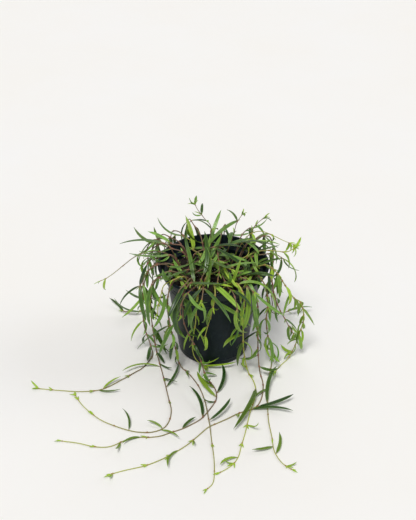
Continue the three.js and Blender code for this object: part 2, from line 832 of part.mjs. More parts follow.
// A leaf on a side of a node. The pairs of a stem that stands or hangs are set crosswise, those of
// one that leans are turned by less, and those of one that lies stay near the surface.
const STEEP = 0.75;
const UPRIGHT = 0.9;
const LEANING_TURN = 35;
const LYING_SWAY = 0.45;

function leafOnNode(vine, node, side, quarter) {
  const draw = vine.draw;
  const { place, along: stem } = node;
  const kind = place[2] < LYING_BELOW ? LYING : FREE;
  const length = between(vine.leaf, draw()) * node.grown;
  const width = kind.width + length * between(WIDTH_PER_LENGTH, draw());
  const spread = radians(kind.spread + SPREAD_MORE * draw());
  const curve = draw() < UPCURVED ? UPCURVE : 1;
  const droop = curve * between(DROOP, draw());
  const sickle = (draw() - 0.5) * SICKLE;
  const sway = (draw() - 0.5) * SWAY;
  if (draw() > kind.chance) return null;
  const level = square(Math.abs(stem[2]) > UPRIGHT ? [1, 0, 0] : UP, stem);
  for (const [more, bend] of TRIES) {
    let about = 90 + (quarter ? LEANING_TURN : -LEANING_TURN) + sway + more;
    if (Math.abs(stem[2]) > STEEP) about = 45 + 90 * quarter + sway + more;
    if (kind === LYING) about = 90 + (sway + more) * LYING_SWAY;
    const out = turn(level, stem, radians(about + 180 * side));
    const free = add(scale(stem, Math.cos(spread)), scale(out, Math.sin(spread)));
    const limp = vine.limp * (place[2] > CROWN_ABOVE ? 1 : HANGING_LIMP);
    const along = unit(kind === LYING ? free : sub(free, [0, 0, limp]));
    const face = square(add(add(UP, scale(stem, 0.35)), scale(out, 0.25)), along);
    const leaf = { base: place, along, face, length, width, droop: droop * bend, sickle };
    if (leafFits(leaf, vine)) return leaf;
  }
  return null;
}

// A long leaf, from the point of the stem nearest to where it is wanted to its tip
function longLeaf(vine, { near, tip, width, droop }, bow) {
  let base = vine.stem[0];
  for (let i = 0; i + 1 < vine.stem.length; i++) {
    for (const t of [0, 0.25, 0.5, 0.75]) {
      const p = mix(vine.stem[i], vine.stem[i + 1], t);
      if (size(sub(p, near)) < size(sub(base, near))) base = p;
    }
  }
  const reach = sub(tip, base);
  const chord = unit(reach);
  const flat = square(UP, chord);
  const side = cross(flat, chord);
  const half = -radians(droop) / 2;
  const face = turn(flat, side, half);
  const along = turn(turn(chord, side, half), face, -radians(bow) / 2);
  return { base, along, face, length: size(reach), width, droop, sickle: bow };
}

// The long leaf with its bow aside, or bowed the other way, or straight, whichever fits first
function bowedLeaf(vine, wanted, bow) {
  for (const sickle of [bow, -bow, 0]) {
    const leaf = longLeaf(vine, wanted, sickle);
    if (leafFits(leaf, vine)) return leaf;
  }
  return null;
}

for (const [v, vine] of vines.entries()) {
  vine.nodes = leafNodes(vine);
  const long = vine.long.map((wanted, k) => bowedLeaf(vine, wanted, BOWS[(v + k) % BOWS.length]));
  vine.leaves = long.filter((leaf) => leaf);
  for (const leaf of vine.leaves) settle(leafRings(leaf, 0), vine, leaf.base, leaf.base);
}
const MOST_NODES = Math.max(...vines.map((vine) => vine.nodes.length));
for (let k = 0; k < MOST_NODES; k++) {
  for (const vine of vines) {
    if (k >= vine.nodes.length) continue;
    for (const side of [0, 1]) {
      const leaf = leafOnNode(vine, vine.nodes[k], side, k % 2);
      if (!leaf) continue;
      vine.leaves.push(leaf);
      settle(leafRings(leaf, 0), vine, leaf.base, leaf.base);
    }
  }
}

// A geometry as a closed solid
function solid(geometry) {
  geometry.deleteAttribute("normal");
  geometry.deleteAttribute("uv");
  const merged = mergeVertices(geometry, 1e-4);
  return new wasm.Manifold(new wasm.Mesh({
    numProp: 3,
    vertProperties: new Float32Array(merged.attributes.position.array),
    triVerts: new Uint32Array(merged.index.array),
  }));
}

// A three-cornered prism or spike, bent to a run of rings
function skin(rings, pointed) {
  const rows = rings.length - 1;
  const geometry = new THREE.CylinderGeometry(pointed ? 0 : 1, 1, 1, 3, rows);
  const corners = geometry.attributes.position;
  for (let i = 0; i < corners.count; i++) {
    const row = Math.round((0.5 + corners.getY(i)) * rows);
    const ring = rings[row];
    const x = corners.getX(i);
    const z = corners.getZ(i);
    const third = Math.round(Math.atan2(x, z) / radians(120));
    let p = ring[(third + 3) % 3];
    if (x * x + z * z < 0.1 && row < rows + (pointed ? 0 : 1)) {
      p = scale(add(add(ring[0], ring[1]), ring[2]), 1 / 3);
    }
    corners.setXYZ(i, p[0], p[1], p[2]);
  }
  return solid(geometry);
}

// A joint's edges may not be finer than this, or the leaf moves over by a hair
const FINEST_EDGE = 0.004;
const HAIR = 0.05;
const MOST_HAIRS = 8;

// The length of the shortest edge of a solid's mesh
function shortestEdge(body) {
  const { vertProperties: v, triVerts } = body.getMesh();
  let shortest = Infinity;
  for (let i = 0; i < triVerts.length; i += 3) {
    for (let k = 0; k < 3; k++) {
      const a = 3 * triVerts[i + k];
      const b = 3 * triVerts[i + ((k + 1) % 3)];
      const edge = Math.hypot(v[a] - v[b], v[a + 1] - v[b + 1], v[a + 2] - v[b + 2]);
      shortest = Math.min(shortest, edge);
    }
  }
  return shortest;
}

// One vine: its stem with every leaf fused to it, as its largest shell
function vineSolid(vine) {
  let whole = skin(stemRings(vine.stem), false);
  for (const leaf of vine.leaves) {
    for (let hairs = 0; hairs < MOST_HAIRS; hairs++) {
      const base = add(leaf.base, scale(cross(leaf.face, leaf.along), HAIR * hairs));
      const joined = whole.add(skin(leafRings({ ...leaf, base }, 0), true));
      if (shortestEdge(joined) < FINEST_EDGE) continue;
      whole = joined;
      break;
    }
  }
  const shells = whole.decompose().sort((a, b) => b.volume() - a.volume());
  return shells[0];
}

// The mesh of a solid, with its name, place in the scene and finish
function meshOf(name, body, colour, roughness) {
  const { vertProperties, triVerts } = body.getMesh();
  const geometry = new THREE.BufferGeometry();
  geometry.setAttribute("position", new THREE.BufferAttribute(vertProperties, 3));
  geometry.setIndex(new THREE.BufferAttribute(triVerts, 1));
  geometry.computeVertexNormals();
  const finish = new THREE.MeshStandardMaterial({ color: colour, roughness, metalness: 0 });
  const mesh = new THREE.Mesh(geometry, finish);
  mesh.name = name;
  return mesh;
}

// A geometry turned about the pot's upright axis from a profile of [radius, height] points
function turned(profile) {
  const points = profile.map(([r, z]) => new THREE.Vector2(r, z));
  const geometry = new THREE.LatheGeometry(points, POT_SIDES);
  geometry.rotateX(Math.PI / 2);
  return geometry;
}

// An upright cylinder with its middle at a height
function upright(radius, height, sides, x, y, middle) {
  const geometry = new THREE.CylinderGeometry(radius, radius, height, sides);
  geometry.rotateX(Math.PI / 2);
  geometry.translate(x, y, middle);
  return solid(geometry);
}

// The pot: a thin tapered wall, a shoulder, a flared band and a rounded lip, with drain holes
function potSolid() {
  let pot = solid(turned([
    [0, 0],
    [BASE_RADIUS - BASE_CHAMFER, 0],
    [radiusAt(POT_OUTSIDE, BASE_CHAMFER), BASE_CHAMFER],
    ...POT_OUTSIDE.slice(1),
    ...POT_INSIDE.slice().reverse(),
    [0, BASE_THICKNESS],
  ]));
  for (let i = 0; i < DRAIN_COUNT; i++) {
    const angle = (i * 2 * Math.PI) / DRAIN_COUNT + FIRST_DRAIN;
    const x = DRAIN_RING_RADIUS * Math.cos(angle);
    const y = DRAIN_RING_RADIUS * Math.sin(angle);
    pot = pot.subtract(upright(DRAIN_RADIUS, 3 * BASE_THICKNESS, DRAIN_SIDES, x, y, 0));
  }
  return pot;
}

// How far the peat's top stands above or below its mound, as a share of a lump
function lumpAt(x, y) {
  const wave = Math.sin(x * 0.31 + 2 * Math.sin(y * 0.17));
  return wave * Math.cos(y * 0.37 - 1.3 * Math.sin(x * 0.13));
}

// The peat: a plug that follows the inside of the pot, its top a lumpy mound, with a plain hole
// for each vine
function soilSolid() {
  const foot = BASE_THICKNESS + SOIL_GAP;
  const geometry = turned([
    [0, foot],
    [radiusAt(POT_INSIDE, foot) - SOIL_GAP, foot],
    [radiusAt(POT_INSIDE, SOIL_EDGE_HEIGHT) - SOIL_GAP, SOIL_EDGE_HEIGHT - SOIL_BEVEL],
    ...SOIL_RINGS.map((r) => [r, soilHeight(r)]),
    [0, soilHeight(0)],
  ]);
  const corners = geometry.attributes.position;
  for (let i = 0; i < corners.count; i++) {
    const z = corners.getZ(i);
    if (z < SOIL_EDGE_HEIGHT - SOIL_BEVEL / 2) continue;
    corners.setZ(i, z + SOIL_LUMP * lumpAt(corners.getX(i), corners.getY(i)));
  }
  let soil = solid(geometry);
  for (const { root } of vines) {
    const bottom = rootPoints(root)[0][2] - HOLE_GAP;
    const middle = bottom + ROOT_DEPTH;
    soil = soil.subtract(upright(HOLE_RADIUS, 2 * ROOT_DEPTH, HOLE_SIDES, root[0], root[1], middle));
  }
  return soil;
}

const plant = new THREE.Group();
plant.add(meshOf("pot", potSolid(), 0x262b30, 0.5));
plant.add(meshOf("soil", soilSolid(), 0x2a211b, 0.95));
for (const vine of vines) {
  plant.add(meshOf(vine.name, vineSolid(vine), 0x4c8a35, 0.45));
}

export default plant;
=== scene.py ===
# %% [markdown]
# ## A string of needles in its nursery pot
#
# This lesson dresses a climbing plant whose solids are already made. The solids say where every
# vine runs and where each leaf stands. Here each of them gets its fine form and its finish: wiry
# stems with swollen joints, narrow fleshy leaves with a groove down the middle, a moulded black
# pot, and peat with grains of perlite.
#
# The frame comes first, because everything else is placed by it. Lengths are in metres in
# Blender. The plant's own rules below work in millimetres, as a grower would, and are turned into
# metres when a mesh is made.

# %% Load the frame
import math

import bmesh
import bpy
import numpy as np
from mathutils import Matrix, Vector, noise


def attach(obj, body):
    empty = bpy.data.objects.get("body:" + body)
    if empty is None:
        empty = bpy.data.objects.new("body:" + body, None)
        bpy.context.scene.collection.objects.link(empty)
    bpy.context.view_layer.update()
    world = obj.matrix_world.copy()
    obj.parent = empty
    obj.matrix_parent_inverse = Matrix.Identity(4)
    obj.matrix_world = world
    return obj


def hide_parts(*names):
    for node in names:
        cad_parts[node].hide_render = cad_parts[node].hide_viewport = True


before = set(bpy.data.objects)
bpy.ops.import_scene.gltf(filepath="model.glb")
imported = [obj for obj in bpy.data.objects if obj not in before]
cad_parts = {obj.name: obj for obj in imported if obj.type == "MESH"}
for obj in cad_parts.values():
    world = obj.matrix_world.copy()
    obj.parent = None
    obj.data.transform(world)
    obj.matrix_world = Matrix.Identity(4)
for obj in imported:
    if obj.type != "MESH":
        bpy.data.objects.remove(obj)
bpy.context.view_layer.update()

MM = 0.001

# %% [markdown]
# ## Camera
#
# The photo looks down on the pot by 33 degrees from about a metre away, with the pot a little
# right of the middle. A camera keeps its longer side for the lens, so a frame of 416 by 520
# pixels with a focal length of 933 pixels gives 933 / 520 of the 36 mm sensor.

# %% Camera
PHOTO_HEIGHT = 520
FOCAL_PIXELS = 933
SENSOR = 36
CAMERA_PLACE = (-0.005895, -0.837211, 0.656886)
CAMERA_PITCH = 33

lens = bpy.data.cameras.new("photo_camera")
lens.sensor_width = SENSOR
lens.lens = SENSOR * FOCAL_PIXELS / PHOTO_HEIGHT
lens.clip_start = 0.01
camera = bpy.data.objects.new("photo_camera", lens)
camera.location = CAMERA_PLACE
camera.rotation_euler = (math.radians(90 - CAMERA_PITCH), 0, 0)
bpy.context.scene.collection.objects.link(camera)
bpy.context.scene.camera = camera
print("lens", round(lens.lens, 2), "mm")

# %% [markdown]
# ## Floor and light
#
# The object stands on a plain warm white sheet under soft light. A large disc is the sheet. Lamps
# close by would leave bright pools on it, so the light comes from three suns, far away: a key high
# in front that models the leaves, a wider and cooler one low on the right that draws the grey
# sheen down the pot, and the widest one behind. The sky fills the shadows, and where the camera
# sees it directly it is as white as the sheet.

# %% Floor and lights
FLOOR_RADIUS = 6.0
FLOOR_SIDES = 96
SKY_COLOUR = (1.0, 0.99, 0.975, 1)
SKY_FILL = 0.26
SKY_SEEN = 0.9


def link(piece):
    bpy.context.scene.collection.objects.link(piece)
    return piece


def object_of(name, body):
    """The object of a finished bmesh, which is freed."""
    mesh = bpy.data.meshes.new(name)
    body.to_mesh(mesh)
    body.free()
    return link(bpy.data.objects.new(name, mesh))


def soft_sun(name, toward, width, strength, colour):
    """A sun that shines from the way given, as wide as an angle in degrees."""
    sun = bpy.data.lights.new(name, "SUN")
    sun.angle = math.radians(width)
    sun.energy = strength
    sun.color = colour
    holder = link(bpy.data.objects.new(name, sun))
    holder.rotation_euler = Vector(toward).to_track_quat("Z", "Y").to_euler()
    return holder


sheet = bmesh.new()
bmesh.ops.create_circle(sheet, cap_ends=True, segments=FLOOR_SIDES, radius=FLOOR_RADIUS)
floor = object_of("floor", sheet)

sky = bpy.data.worlds.new("studio")
sky.use_nodes = True
sky_shine = sky.node_tree.nodes["Background"]
sky_shine.inputs["Color"].default_value = SKY_COLOUR
seen = sky.node_tree.nodes.new("ShaderNodeMapRange")
seen.inputs["To Min"].default_value = SKY_FILL
seen.inputs["To Max"].default_value = SKY_SEEN
rays = sky.node_tree.nodes.new("ShaderNodeLightPath")
sky.node_tree.links.new(rays.outputs["Is Camera Ray"], seen.inputs["Value"])
sky.node_tree.links.new(seen.outputs["Result"], sky_shine.inputs["Strength"])
bpy.context.scene.world = sky
bpy.context.scene.view_settings.view_transform = "Standard"

soft_sun("key_light", toward=(-0.3, -0.75, 1.5), width=18, strength=2.05, colour=(1, 0.985, 0.965))
soft_sun("right_light", toward=(1.05, 0.15, 0.5), width=34, strength=0.8, colour=(0.95, 0.98, 1))
soft_sun("back_light", toward=(0.1, 1.2, 0.9), width=50, strength=0.5, colour=(1, 1, 1))

# %% [markdown]
# ## How the plant grew
#
# Each vine's solid came from a rule: where its root stands in the peat, which way it climbs over
# the rim, and where its leaves sit in pairs along it. The fine leaves must stand exactly where
# the plain ones do, so the same rule is run again here, with the same seeded draws. Reading
# the leaves back out of the solids' faces would be harder and less exact.
#
# It starts with small helpers for points and directions, kept as plain tuples so that every sum is
# made in the same order each time.

# %% Points and directions
def add(a, b):
    return (a[0] + b[0], a[1] + b[1], a[2] + b[2])


def sub(a, b):
    return (a[0] - b[0], a[1] - b[1], a[2] - b[2])


def scale(a, k):
    return (a[0] * k, a[1] * k, a[2] * k)


def dot(a, b):
    return a[0] * b[0] + a[1] * b[1] + a[2] * b[2]


def size(a):
    return math.sqrt(dot(a, a))


def unit(a):
    return scale(a, 1 / (size(a) or 1))


def mix(a, b, t):
    return add(scale(a, 1 - t), scale(b, t))


def cross(a, b):
    return (
        a[1] * b[2] - a[2] * b[1],
        a[2] * b[0] - a[0] * b[2],
        a[0] * b[1] - a[1] * b[0],
    )


def square(a, axis):
    """The direction nearest to a that is square to the axis."""
    return unit(sub(a, scale(axis, dot(a, axis))))


def turn(a, axis, angle):
    """The direction a, turned about the axis."""
    cos = math.cos(angle)
    along = scale(axis, dot(axis, a) * (1 - cos))
    return add(add(scale(a, cos), scale(cross(axis, a), math.sin(angle))), along)


UP = (0, 0, 1)
DRAW_STEP = 16807
DRAW_TOP = 2147483647
WARM_UP = 5


def draws(seed):
    state = seed

    def next_draw():
        nonlocal state
        state = (state * DRAW_STEP) % DRAW_TOP
        return state / DRAW_TOP

    for _ in range(WARM_UP):
        next_draw()
    return next_draw


def between(span, share):
    return span[0] + (span[1] - span[0]) * share


print("first draw of seed 7:", round(draws(7)(), 4))

# %% [markdown]
# The pot and the peat are turned shapes, so a height gives a radius. A vine must stay clear of
# both, and of the floor. The same test is asked of one point while a stem grows, and of a few
# hundred at once when a leaf is tried.

# %% Pot and peat as profiles
POT_HEIGHT = 110
RIM_RADIUS = 60
BASE_RADIUS = 38.5
SHOULDER_RADIUS = 51
SHOULDER_HEIGHT = 97
WALL = 1.4
BASE_THICKNESS = 1.8
SOIL_EDGE_RADIUS = 48
SOIL_EDGE_HEIGHT = 93
SOIL_CROWN_HEIGHT = 97
SOIL_LUMP = 0.9
POT_OUTSIDE = (
    (BASE_RADIUS, 0),
    (SHOULDER_RADIUS, SHOULDER_HEIGHT),
    (SHOULDER_RADIUS + 4, SHOULDER_HEIGHT + 1),
    (RIM_RADIUS - 1.6, POT_HEIGHT - 3),
    (RIM_RADIUS, POT_HEIGHT - 2),
    (RIM_RADIUS, POT_HEIGHT - 0.8),
    (RIM_RADIUS - 0.8, POT_HEIGHT),
)
POT_INSIDE = (
    (BASE_RADIUS - WALL, BASE_THICKNESS),
    (SHOULDER_RADIUS - WALL, SHOULDER_HEIGHT + 1),
    (SHOULDER_RADIUS + 2.5, SHOULDER_HEIGHT + 2.2),
    (RIM_RADIUS - 3.2, POT_HEIGHT - 1.2),
    (RIM_RADIUS - 2.6, POT_HEIGHT),
)


def radius_at(profile, z):
    radii, heights = zip(*profile)
    return np.interp(z, heights, radii)


def soil_height(radius):
    out = np.minimum(1, radius / SOIL_EDGE_RADIUS)
    return SOIL_CROWN_HEIGHT - (SOIL_CROWN_HEIGHT - SOIL_EDGE_HEIGHT) * out * out


def clear_of_pot(points, margin):
    """True where every one of the points keeps a margin to the pot, the peat and the floor."""
    points = np.asarray(points, float).reshape(-1, 3)
    z = points[:, 2]
    radius = np.sqrt(points[:, 0] * points[:, 0] + points[:, 1] * points[:, 1])
    above = z > POT_HEIGHT + margin
    outside = radius > radius_at(POT_OUTSIDE, z) + margin
    inside = radius <= radius_at(POT_INSIDE, z) - margin
    over_peat = z > soil_height(radius) + SOIL_LUMP + margin
    return bool(np.all((z >= margin) & (above | outside | (inside & over_peat))))


print("inside radius at the lip:", radius_at(POT_INSIDE, POT_HEIGHT))

# %% [markdown]
# The vines that give the plant its outline follow listed points: out of the peat, over the
# rim, down and along the floor. A point with two numbers lies on the floor. Each vine keeps its
# own rhythm of joints and its own range of leaf lengths. Nine of them carry long leaves that were
# placed too: a row says where such a leaf leaves the stem, where its tip is, its width and its
# droop in degrees. The other vines only have a kind, and find their own way.

# %% The placed vines and the kinds
LIE = 1.25
LONG_LEAF_ROW = ("near", "tip", "width", "droop")
PLACED_VINES = [
    {
        "name": "vine_far_left", "root": (-30, -6), "internode": 15, "leaf": (16, 34),
        "path": [
            (-37, -8, 108), (-48, -10, 115), (-62, -10, 114), (-71, -12, 103), (-76, -13, 80),
            (-77, -14, 50), (-75, -15, 30), (-70, -17, 12), (-68, -24), (-77, -43), (-86, -52),
            (-98, -63), (-118, -79), (-139, -83), (-165, -81), (-187, -78),
        ],
        "long": [
            ((-76, -13, 78), (-58, -28, 54), 5, 30),
            ((-118, -79, 1), (-100, -63, 5), 2.4, 12),
            ((-122, -80, 1), (-98, -84, 4), 2.7, 10),
        ],
    },
    {
        "name": "vine_left_bundle", "root": (-22, -18), "internode": 12, "leaf": (16, 32),
        "path": [
            (-32, -22, 108), (-46, -26, 116), (-60, -30, 109), (-66, -28, 88), (-67, -27, 58),
            (-65, -26, 30), (-62, -30, 9), (-58, -42), (-53, -65), (-47, -96), (-44, -111),
            (-45, -126), (-50, -138), (-60, -144), (-71, -145), (-86, -142), (-109, -131),
            (-123, -120), (-137, -104), (-146, -89),
        ],
        "long": [
            ((-66, -27, 44), (-50, -42, 18), 6, -30),
            ((-58, -43, 1), (-101, -55, 6), 2.6, 24),
            ((-53, -68, 1), (-37, -40, 4), 2.9, 30),
            ((-51, -139, 1), (-68, -131, 5), 2.6, 12),
            ((-54, -141, 1), (-34, -158, 7), 2.6, 12),
            ((-86, -142, 1), (-93, -116, 8), 2.3, 18),
        ],
    },
    {
        "name": "vine_front_sweep", "root": (-12, -24), "internode": 13, "leaf": (16, 36),
        "path": [
            (-17, -36, 108), (-24, -48, 116), (-31, -57, 109), (-32, -57, 90), (-31, -54, 70),
            (-25, -55, 52), (-19, -57, 40), (-13, -60, 22), (-9, -63, 7), (-3, -69), (2, -80),
            (3, -94), (-2, -107), (-12, -124), (-22, -133), (-32, -140), (-43, -145), (-53, -150),
            (-65, -152), (-77, -152), (-88, -156), (-103, -165), (-118, -165), (-135, -160),
            (-152, -157),
        ],
        "long": [
            ((-24, -48, 116), (13, -55, 118), 5.2, 46),
            ((-31, -57, 107), (-25, -72, 76), 6.6, 54),
            ((-32, -57, 94), (-6, -74, 110), 5, 20),
            ((1, -77, 1), (-16, -64, 6), 3.2, 16),
            ((3, -86, 1), (11, -47, 10), 3.8, 34),
            ((3, -93, 1), (-19, -58, 8), 4, 24),
            ((-11, -122, 1), (-25, -80, 7), 3.8, 20),
            ((-32, -140, 1), (-18, -126, 5), 3, 14),
            ((-74, -152, 1), (-92, -164, 4), 2.6, 10),
        ],
    },
    {
        "name": "vine_front_long", "root": (-26, -28), "internode": 12, "leaf": (16, 30),
        "path": [
            (-32, -35, 109), (-40, -43, 116.5), (-46, -50, 108), (-48, -49, 84), (-45, -47, 55),
            (-41, -46, 30), (-38, -45, 10), (-33, -46), (-26, -55), (-18, -70), (-13, -83),
            (-9, -99, 1.6), (-8, -108, 3.6), (-7, -116, 4.3), (-6, -124, 4), (-5, -132, 4.3),
            (-4, -140, 4.3), (-3, -150, 2), (-2, -160), (0, -183), (0, -205), (-2, -215),
            (-7, -221),
        ],
        "long": [
            ((-46, -48, 60), (-84, -44, 24), 5, 44),
            ((-5, -134, 4), (19, -102, 9), 3.3, 24),
        ],
    },
    {
        "name": "vine_low_sweep", "root": (15, -12), "internode": 11, "leaf": (16, 34),
        "path": [
            (22, -26, 108), (30, -39, 116), (39, -49, 112), (45, -54, 96), (46, -53, 78),
            (47, -50, 52), (48, -50, 26), (50, -57, 7), (53, -69), (52, -85), (49, -98), (43, -109),
            (34, -113), (24, -118), (14, -125), (3, -132), (-6, -138), (-15, -149), (-26, -162),
            (-37, -172), (-52, -183), (-67, -191), (-86, -197), (-99, -202),
        ],
        "long": [
            ((44, -108, 1), (85, -96, 8), 4.1, 18),
            ((36, -112, 1), (82, -118, 6), 3.8, 16),
            ((-36, -171, 1), (-46, -192, 4), 2.7, 10),
        ],
    },
    {
        "name": "vine_front_centre", "root": (10, -30), "internode": 11, "leaf": (18, 36),
        "path": [
            (17, -40, 109), (25, -51, 116), (31, -59, 106), (31, -57, 90), (31, -54, 65),
            (32, -53, 36), (35, -53, 14), (39, -56), (43, -66), (45, -80), (43, -96),
            (41, -105, 3.4), (39, -112, 4.4), (37, -119, 3.2), (35, -128), (31, -148), (27, -164),
            (24, -178), (19, -188), (12, -195), (5, -200),
        ],
        "long": [
            ((44, -78, 1), (20, -147, 4), 4.9, 40),
            ((24, -178, 1), (4, -194, 5), 2.9, 12),
            ((25, -51, 116), (63, -46, 102), 5.6, 72),
            ((31, -54, 52), (8, -66, 46), 4.8, 50),
        ],
    },
    {
        "name": "vine_right_front", "root": (29, -15), "internode": 13, "leaf": (18, 38),
        "path": [
            (37, -24, 109), (46, -35, 116.5), (54, -43, 107), (57, -42, 84), (56, -41, 66),
            (58, -38, 44), (63, -33, 17), (64, -38, 2), (61, -54), (58, -72), (57, -90), (56, -111),
            (56, -130), (58, -152), (59, -170), (64, -184), (70, -192), (75, -196),
        ],
        "long": [
            ((37, -24, 110), (68, -38, 112), 6, 104),
            ((57, -104, 1), (68, -52, 12), 4, 30),
            ((59, -170, 1), (66, -148, 5), 3.3, 10),
            ((58, -165, 1), (37, -174, 5), 3.3, 10),
        ],
    },
    {
        "name": "vine_right_hoop", "root": (34, -2), "internode": 9, "leaf": (18, 32),
        "path": [
            (44, -9, 109), (56, -15, 116.5), (67, -19, 109), (77, -21, 93), (86, -22, 79),
            (93, -22, 74), (97, -22, 62), (98, -22, 50), (96, -22, 38), (92, -22, 20), (86, -26, 6),
            (80, -32), (73, -41), (68, -49),
        ],
        "long": [],
    },
    {
        "name": "vine_right_short", "root": (35, -24), "internode": 10, "leaf": (22, 40),
        "path": [
            (44, -26, 109), (54, -29, 116), (61, -33, 107), (63, -34, 95), (66, -34, 84),
            (70, -34, 73), (76, -34, 61), (82, -33, 48), (87, -32, 38),
        ],
        "long": [],
    },
    {
        "name": "vine_right_top", "root": (26, 6), "internode": 13, "leaf": (14, 26),
        "path": [
            (32, 5, 108), (44, 3, 121), (57, 2, 124), (69, 2, 123), (78, 2, 122), (87, 4, 126),
        ],
        "long": [],
    },
    {
        "name": "vine_right_tendril", "root": (20, 18), "internode": 19, "leaf": (12, 20),
        "path": [
            (27, 23, 112), (38, 28, 127), (51, 30, 131), (64, 30, 126), (76, 29, 120),
            (88, 28, 115),
        ],
        "long": [],
    },
    {
        "name": "sprig_top_left", "root": (-2, 22), "internode": 12, "leaf": (12, 20),
        "path": [
            (-2, 26, 112), (-3, 29, 127), (-3, 30, 138), (-9, 30, 146), (-13, 30, 152),
            (-17, 30, 158), (-20, 30, 165),
        ],
        "long": [],
    },
    {
        "name": "sprig_top_middle", "root": (13, 30), "internode": 12, "leaf": (20, 32),
        "path": [
            (17, 31, 110), (22, 30, 127), (25, 30, 141), (31, 32, 151),
        ],
        "long": [],
    },
    {
        "name": "sprig_top_right", "root": (30, 31), "internode": 12, "leaf": (14, 26),
        "path": [
            (37, 37, 110), (42, 40, 120), (44, 40, 129), (49, 40, 136), (56, 40, 143),
        ],
        "long": [],
    },
    {
        "name": "vine_left_tendril", "root": (-33, 8), "internode": 26, "leaf": (16, 26),
        "path": [
            (-44, 8, 112), (-58, 6, 120), (-72, 3, 121), (-85, 1, 116), (-97, 0, 106),
            (-109, 0, 95), (-117, 0, 89), (-123, 0, 86),
        ],
        "long": [],
    },
    {
        "name": "vine_front_short", "root": (0, -33), "internode": 14, "leaf": (22, 40),
        "path": [
            (0, -43, 110), (1, -55, 117), (1, -64, 108), (-3, -64, 86), (-6, -63, 73),
            (-9, -61, 57),
        ],
        "long": [
            ((0, -48, 113), (29, -74, 94), 6.2, 80),
            ((0, -64, 104), (30, -71, 86), 5.4, 50),
        ],
    },
    {
        "name": "vine_base_curl", "root": (-11, -36), "internode": 26, "leaf": (16, 30),
        "path": [
            (-12, -45, 110), (-14, -54, 116.5), (-17, -62, 106), (-18, -60, 90), (-19, -51, 68),
            (-21, -44, 48), (-23, -40, 28), (-21, -40, 14), (-16, -41, 6), (-10, -44, 3.5),
        ],
        "long": [
            ((-11, -44, 3.5), (26, -41, 6), 3.2, 12),
        ],
    },
]
GROWN_KINDS = [
    {
        "kind": "back_vine", "count": 3, "bearings": (35, 145), "root_radius": 30, "inward": False,
        "length": (170, 215), "crest": (114, 120), "internode": 24, "leaf": (24, 42),
    },
    {
        "kind": "cover_vine", "count": 7, "bearings": (75, 245), "root_radius": 33, "inward": True,
        "length": (66, 88), "crest": (104, 116), "internode": 12, "leaf": (32, 54),
    },
    {
        "kind": "right_vine", "count": 2, "bearings": (8, 62), "root_radius": 37, "inward": False,
        "length": (50, 80), "crest": (113, 117), "internode": 18, "leaf": (24, 42),
    },
    {
        "kind": "left_vine", "count": 8, "bearings": (125, 245), "root_radius": 37, "inward": False,
        "length": (70, 150), "crest": (113, 121), "internode": 15, "leaf": (28, 52),
    },
    {
        "kind": "front_vine", "count": 2, "bearings": (262, 284), "root_radius": 38,
        "inward": False,
        "length": (38, 46), "crest": (112, 116), "internode": 11, "leaf": (36, 54),
    },
    {
        "kind": "crown_vine", "count": 6, "bearings": (95, 285), "root_radius": 22, "inward": False,
        "length": (56, 88), "crest": (106, 122), "internode": 13, "leaf": (32, 54),
    },
]
print("placed vines:", len(PLACED_VINES), "kinds:", len(GROWN_KINDS))

# %% [markdown]
# A given path becomes a smooth curve through its points, and the plain solid used only as
# many of the curve's points as it needed. Both are kept here: the leaves are set out along the
# plain line, and the fine stem follows the smooth one.

# %% Smooth and thinned paths
FINE_STEP = 2.5


def laid(path):
    """The path with every point that has no height of its own laid on the floor."""
    return [p if len(p) == 3 else (*p, LIE) for p in path]


def smooth(points, step=FINE_STEP):
    """A curve through all the points, in steps of about the length given."""
    fine = []
    for i in range(len(points) - 1):
        b, c = points[i], points[i + 1]
        a = points[i - 1] if i > 0 else sub(scale(b, 2), c)
        d = points[i + 2] if i + 2 < len(points) else sub(scale(c, 2), b)
        count = max(1, math.floor(size(sub(c, b)) / step + 0.5))
        for k in range(count):
            t = k / count
            bend = add(scale(b, 2), scale(sub(c, a), t))
            second = add(add(scale(a, 2), scale(b, -5)), add(scale(c, 4), scale(d, -1)))
            third = add(add(scale(b, 3), scale(a, -1)), add(scale(c, -3), d))
            curve = add(add(bend, scale(second, t * t)), scale(third, t * t * t))
            fine.append(scale(curve, 0.5))
    fine.append(points[-1])
    return fine


def thin(points, tolerance):
    """As few of the points as keep the line within the tolerance."""
    last = len(points) - 1
    chord = unit(sub(points[last], points[0]))
    far, worst = 0, tolerance
    for i in range(1, last):
        reach = sub(points[i], points[0])
        away = size(sub(reach, scale(chord, dot(reach, chord))))
        if away > worst:
            far, worst = i, away
    if far == 0:
        return [points[0], points[last]]
    return thin(points[: far + 1], tolerance)[:-1] + thin(points[far:], tolerance)


print("a bend of 3 points becomes", len(smooth([(0, 0, 0), (9, 0, 4), (9, 9, 0)])), "points")

# %% [markdown]
# A stem that finds its own way climbs out of the peat, levels out at its crest, tips over the rim
# and then hangs. At each step it looks for free room: clear of the pot, and a stem's width from
# every vine that is there already. Where its way is taken it tries one detour after another.

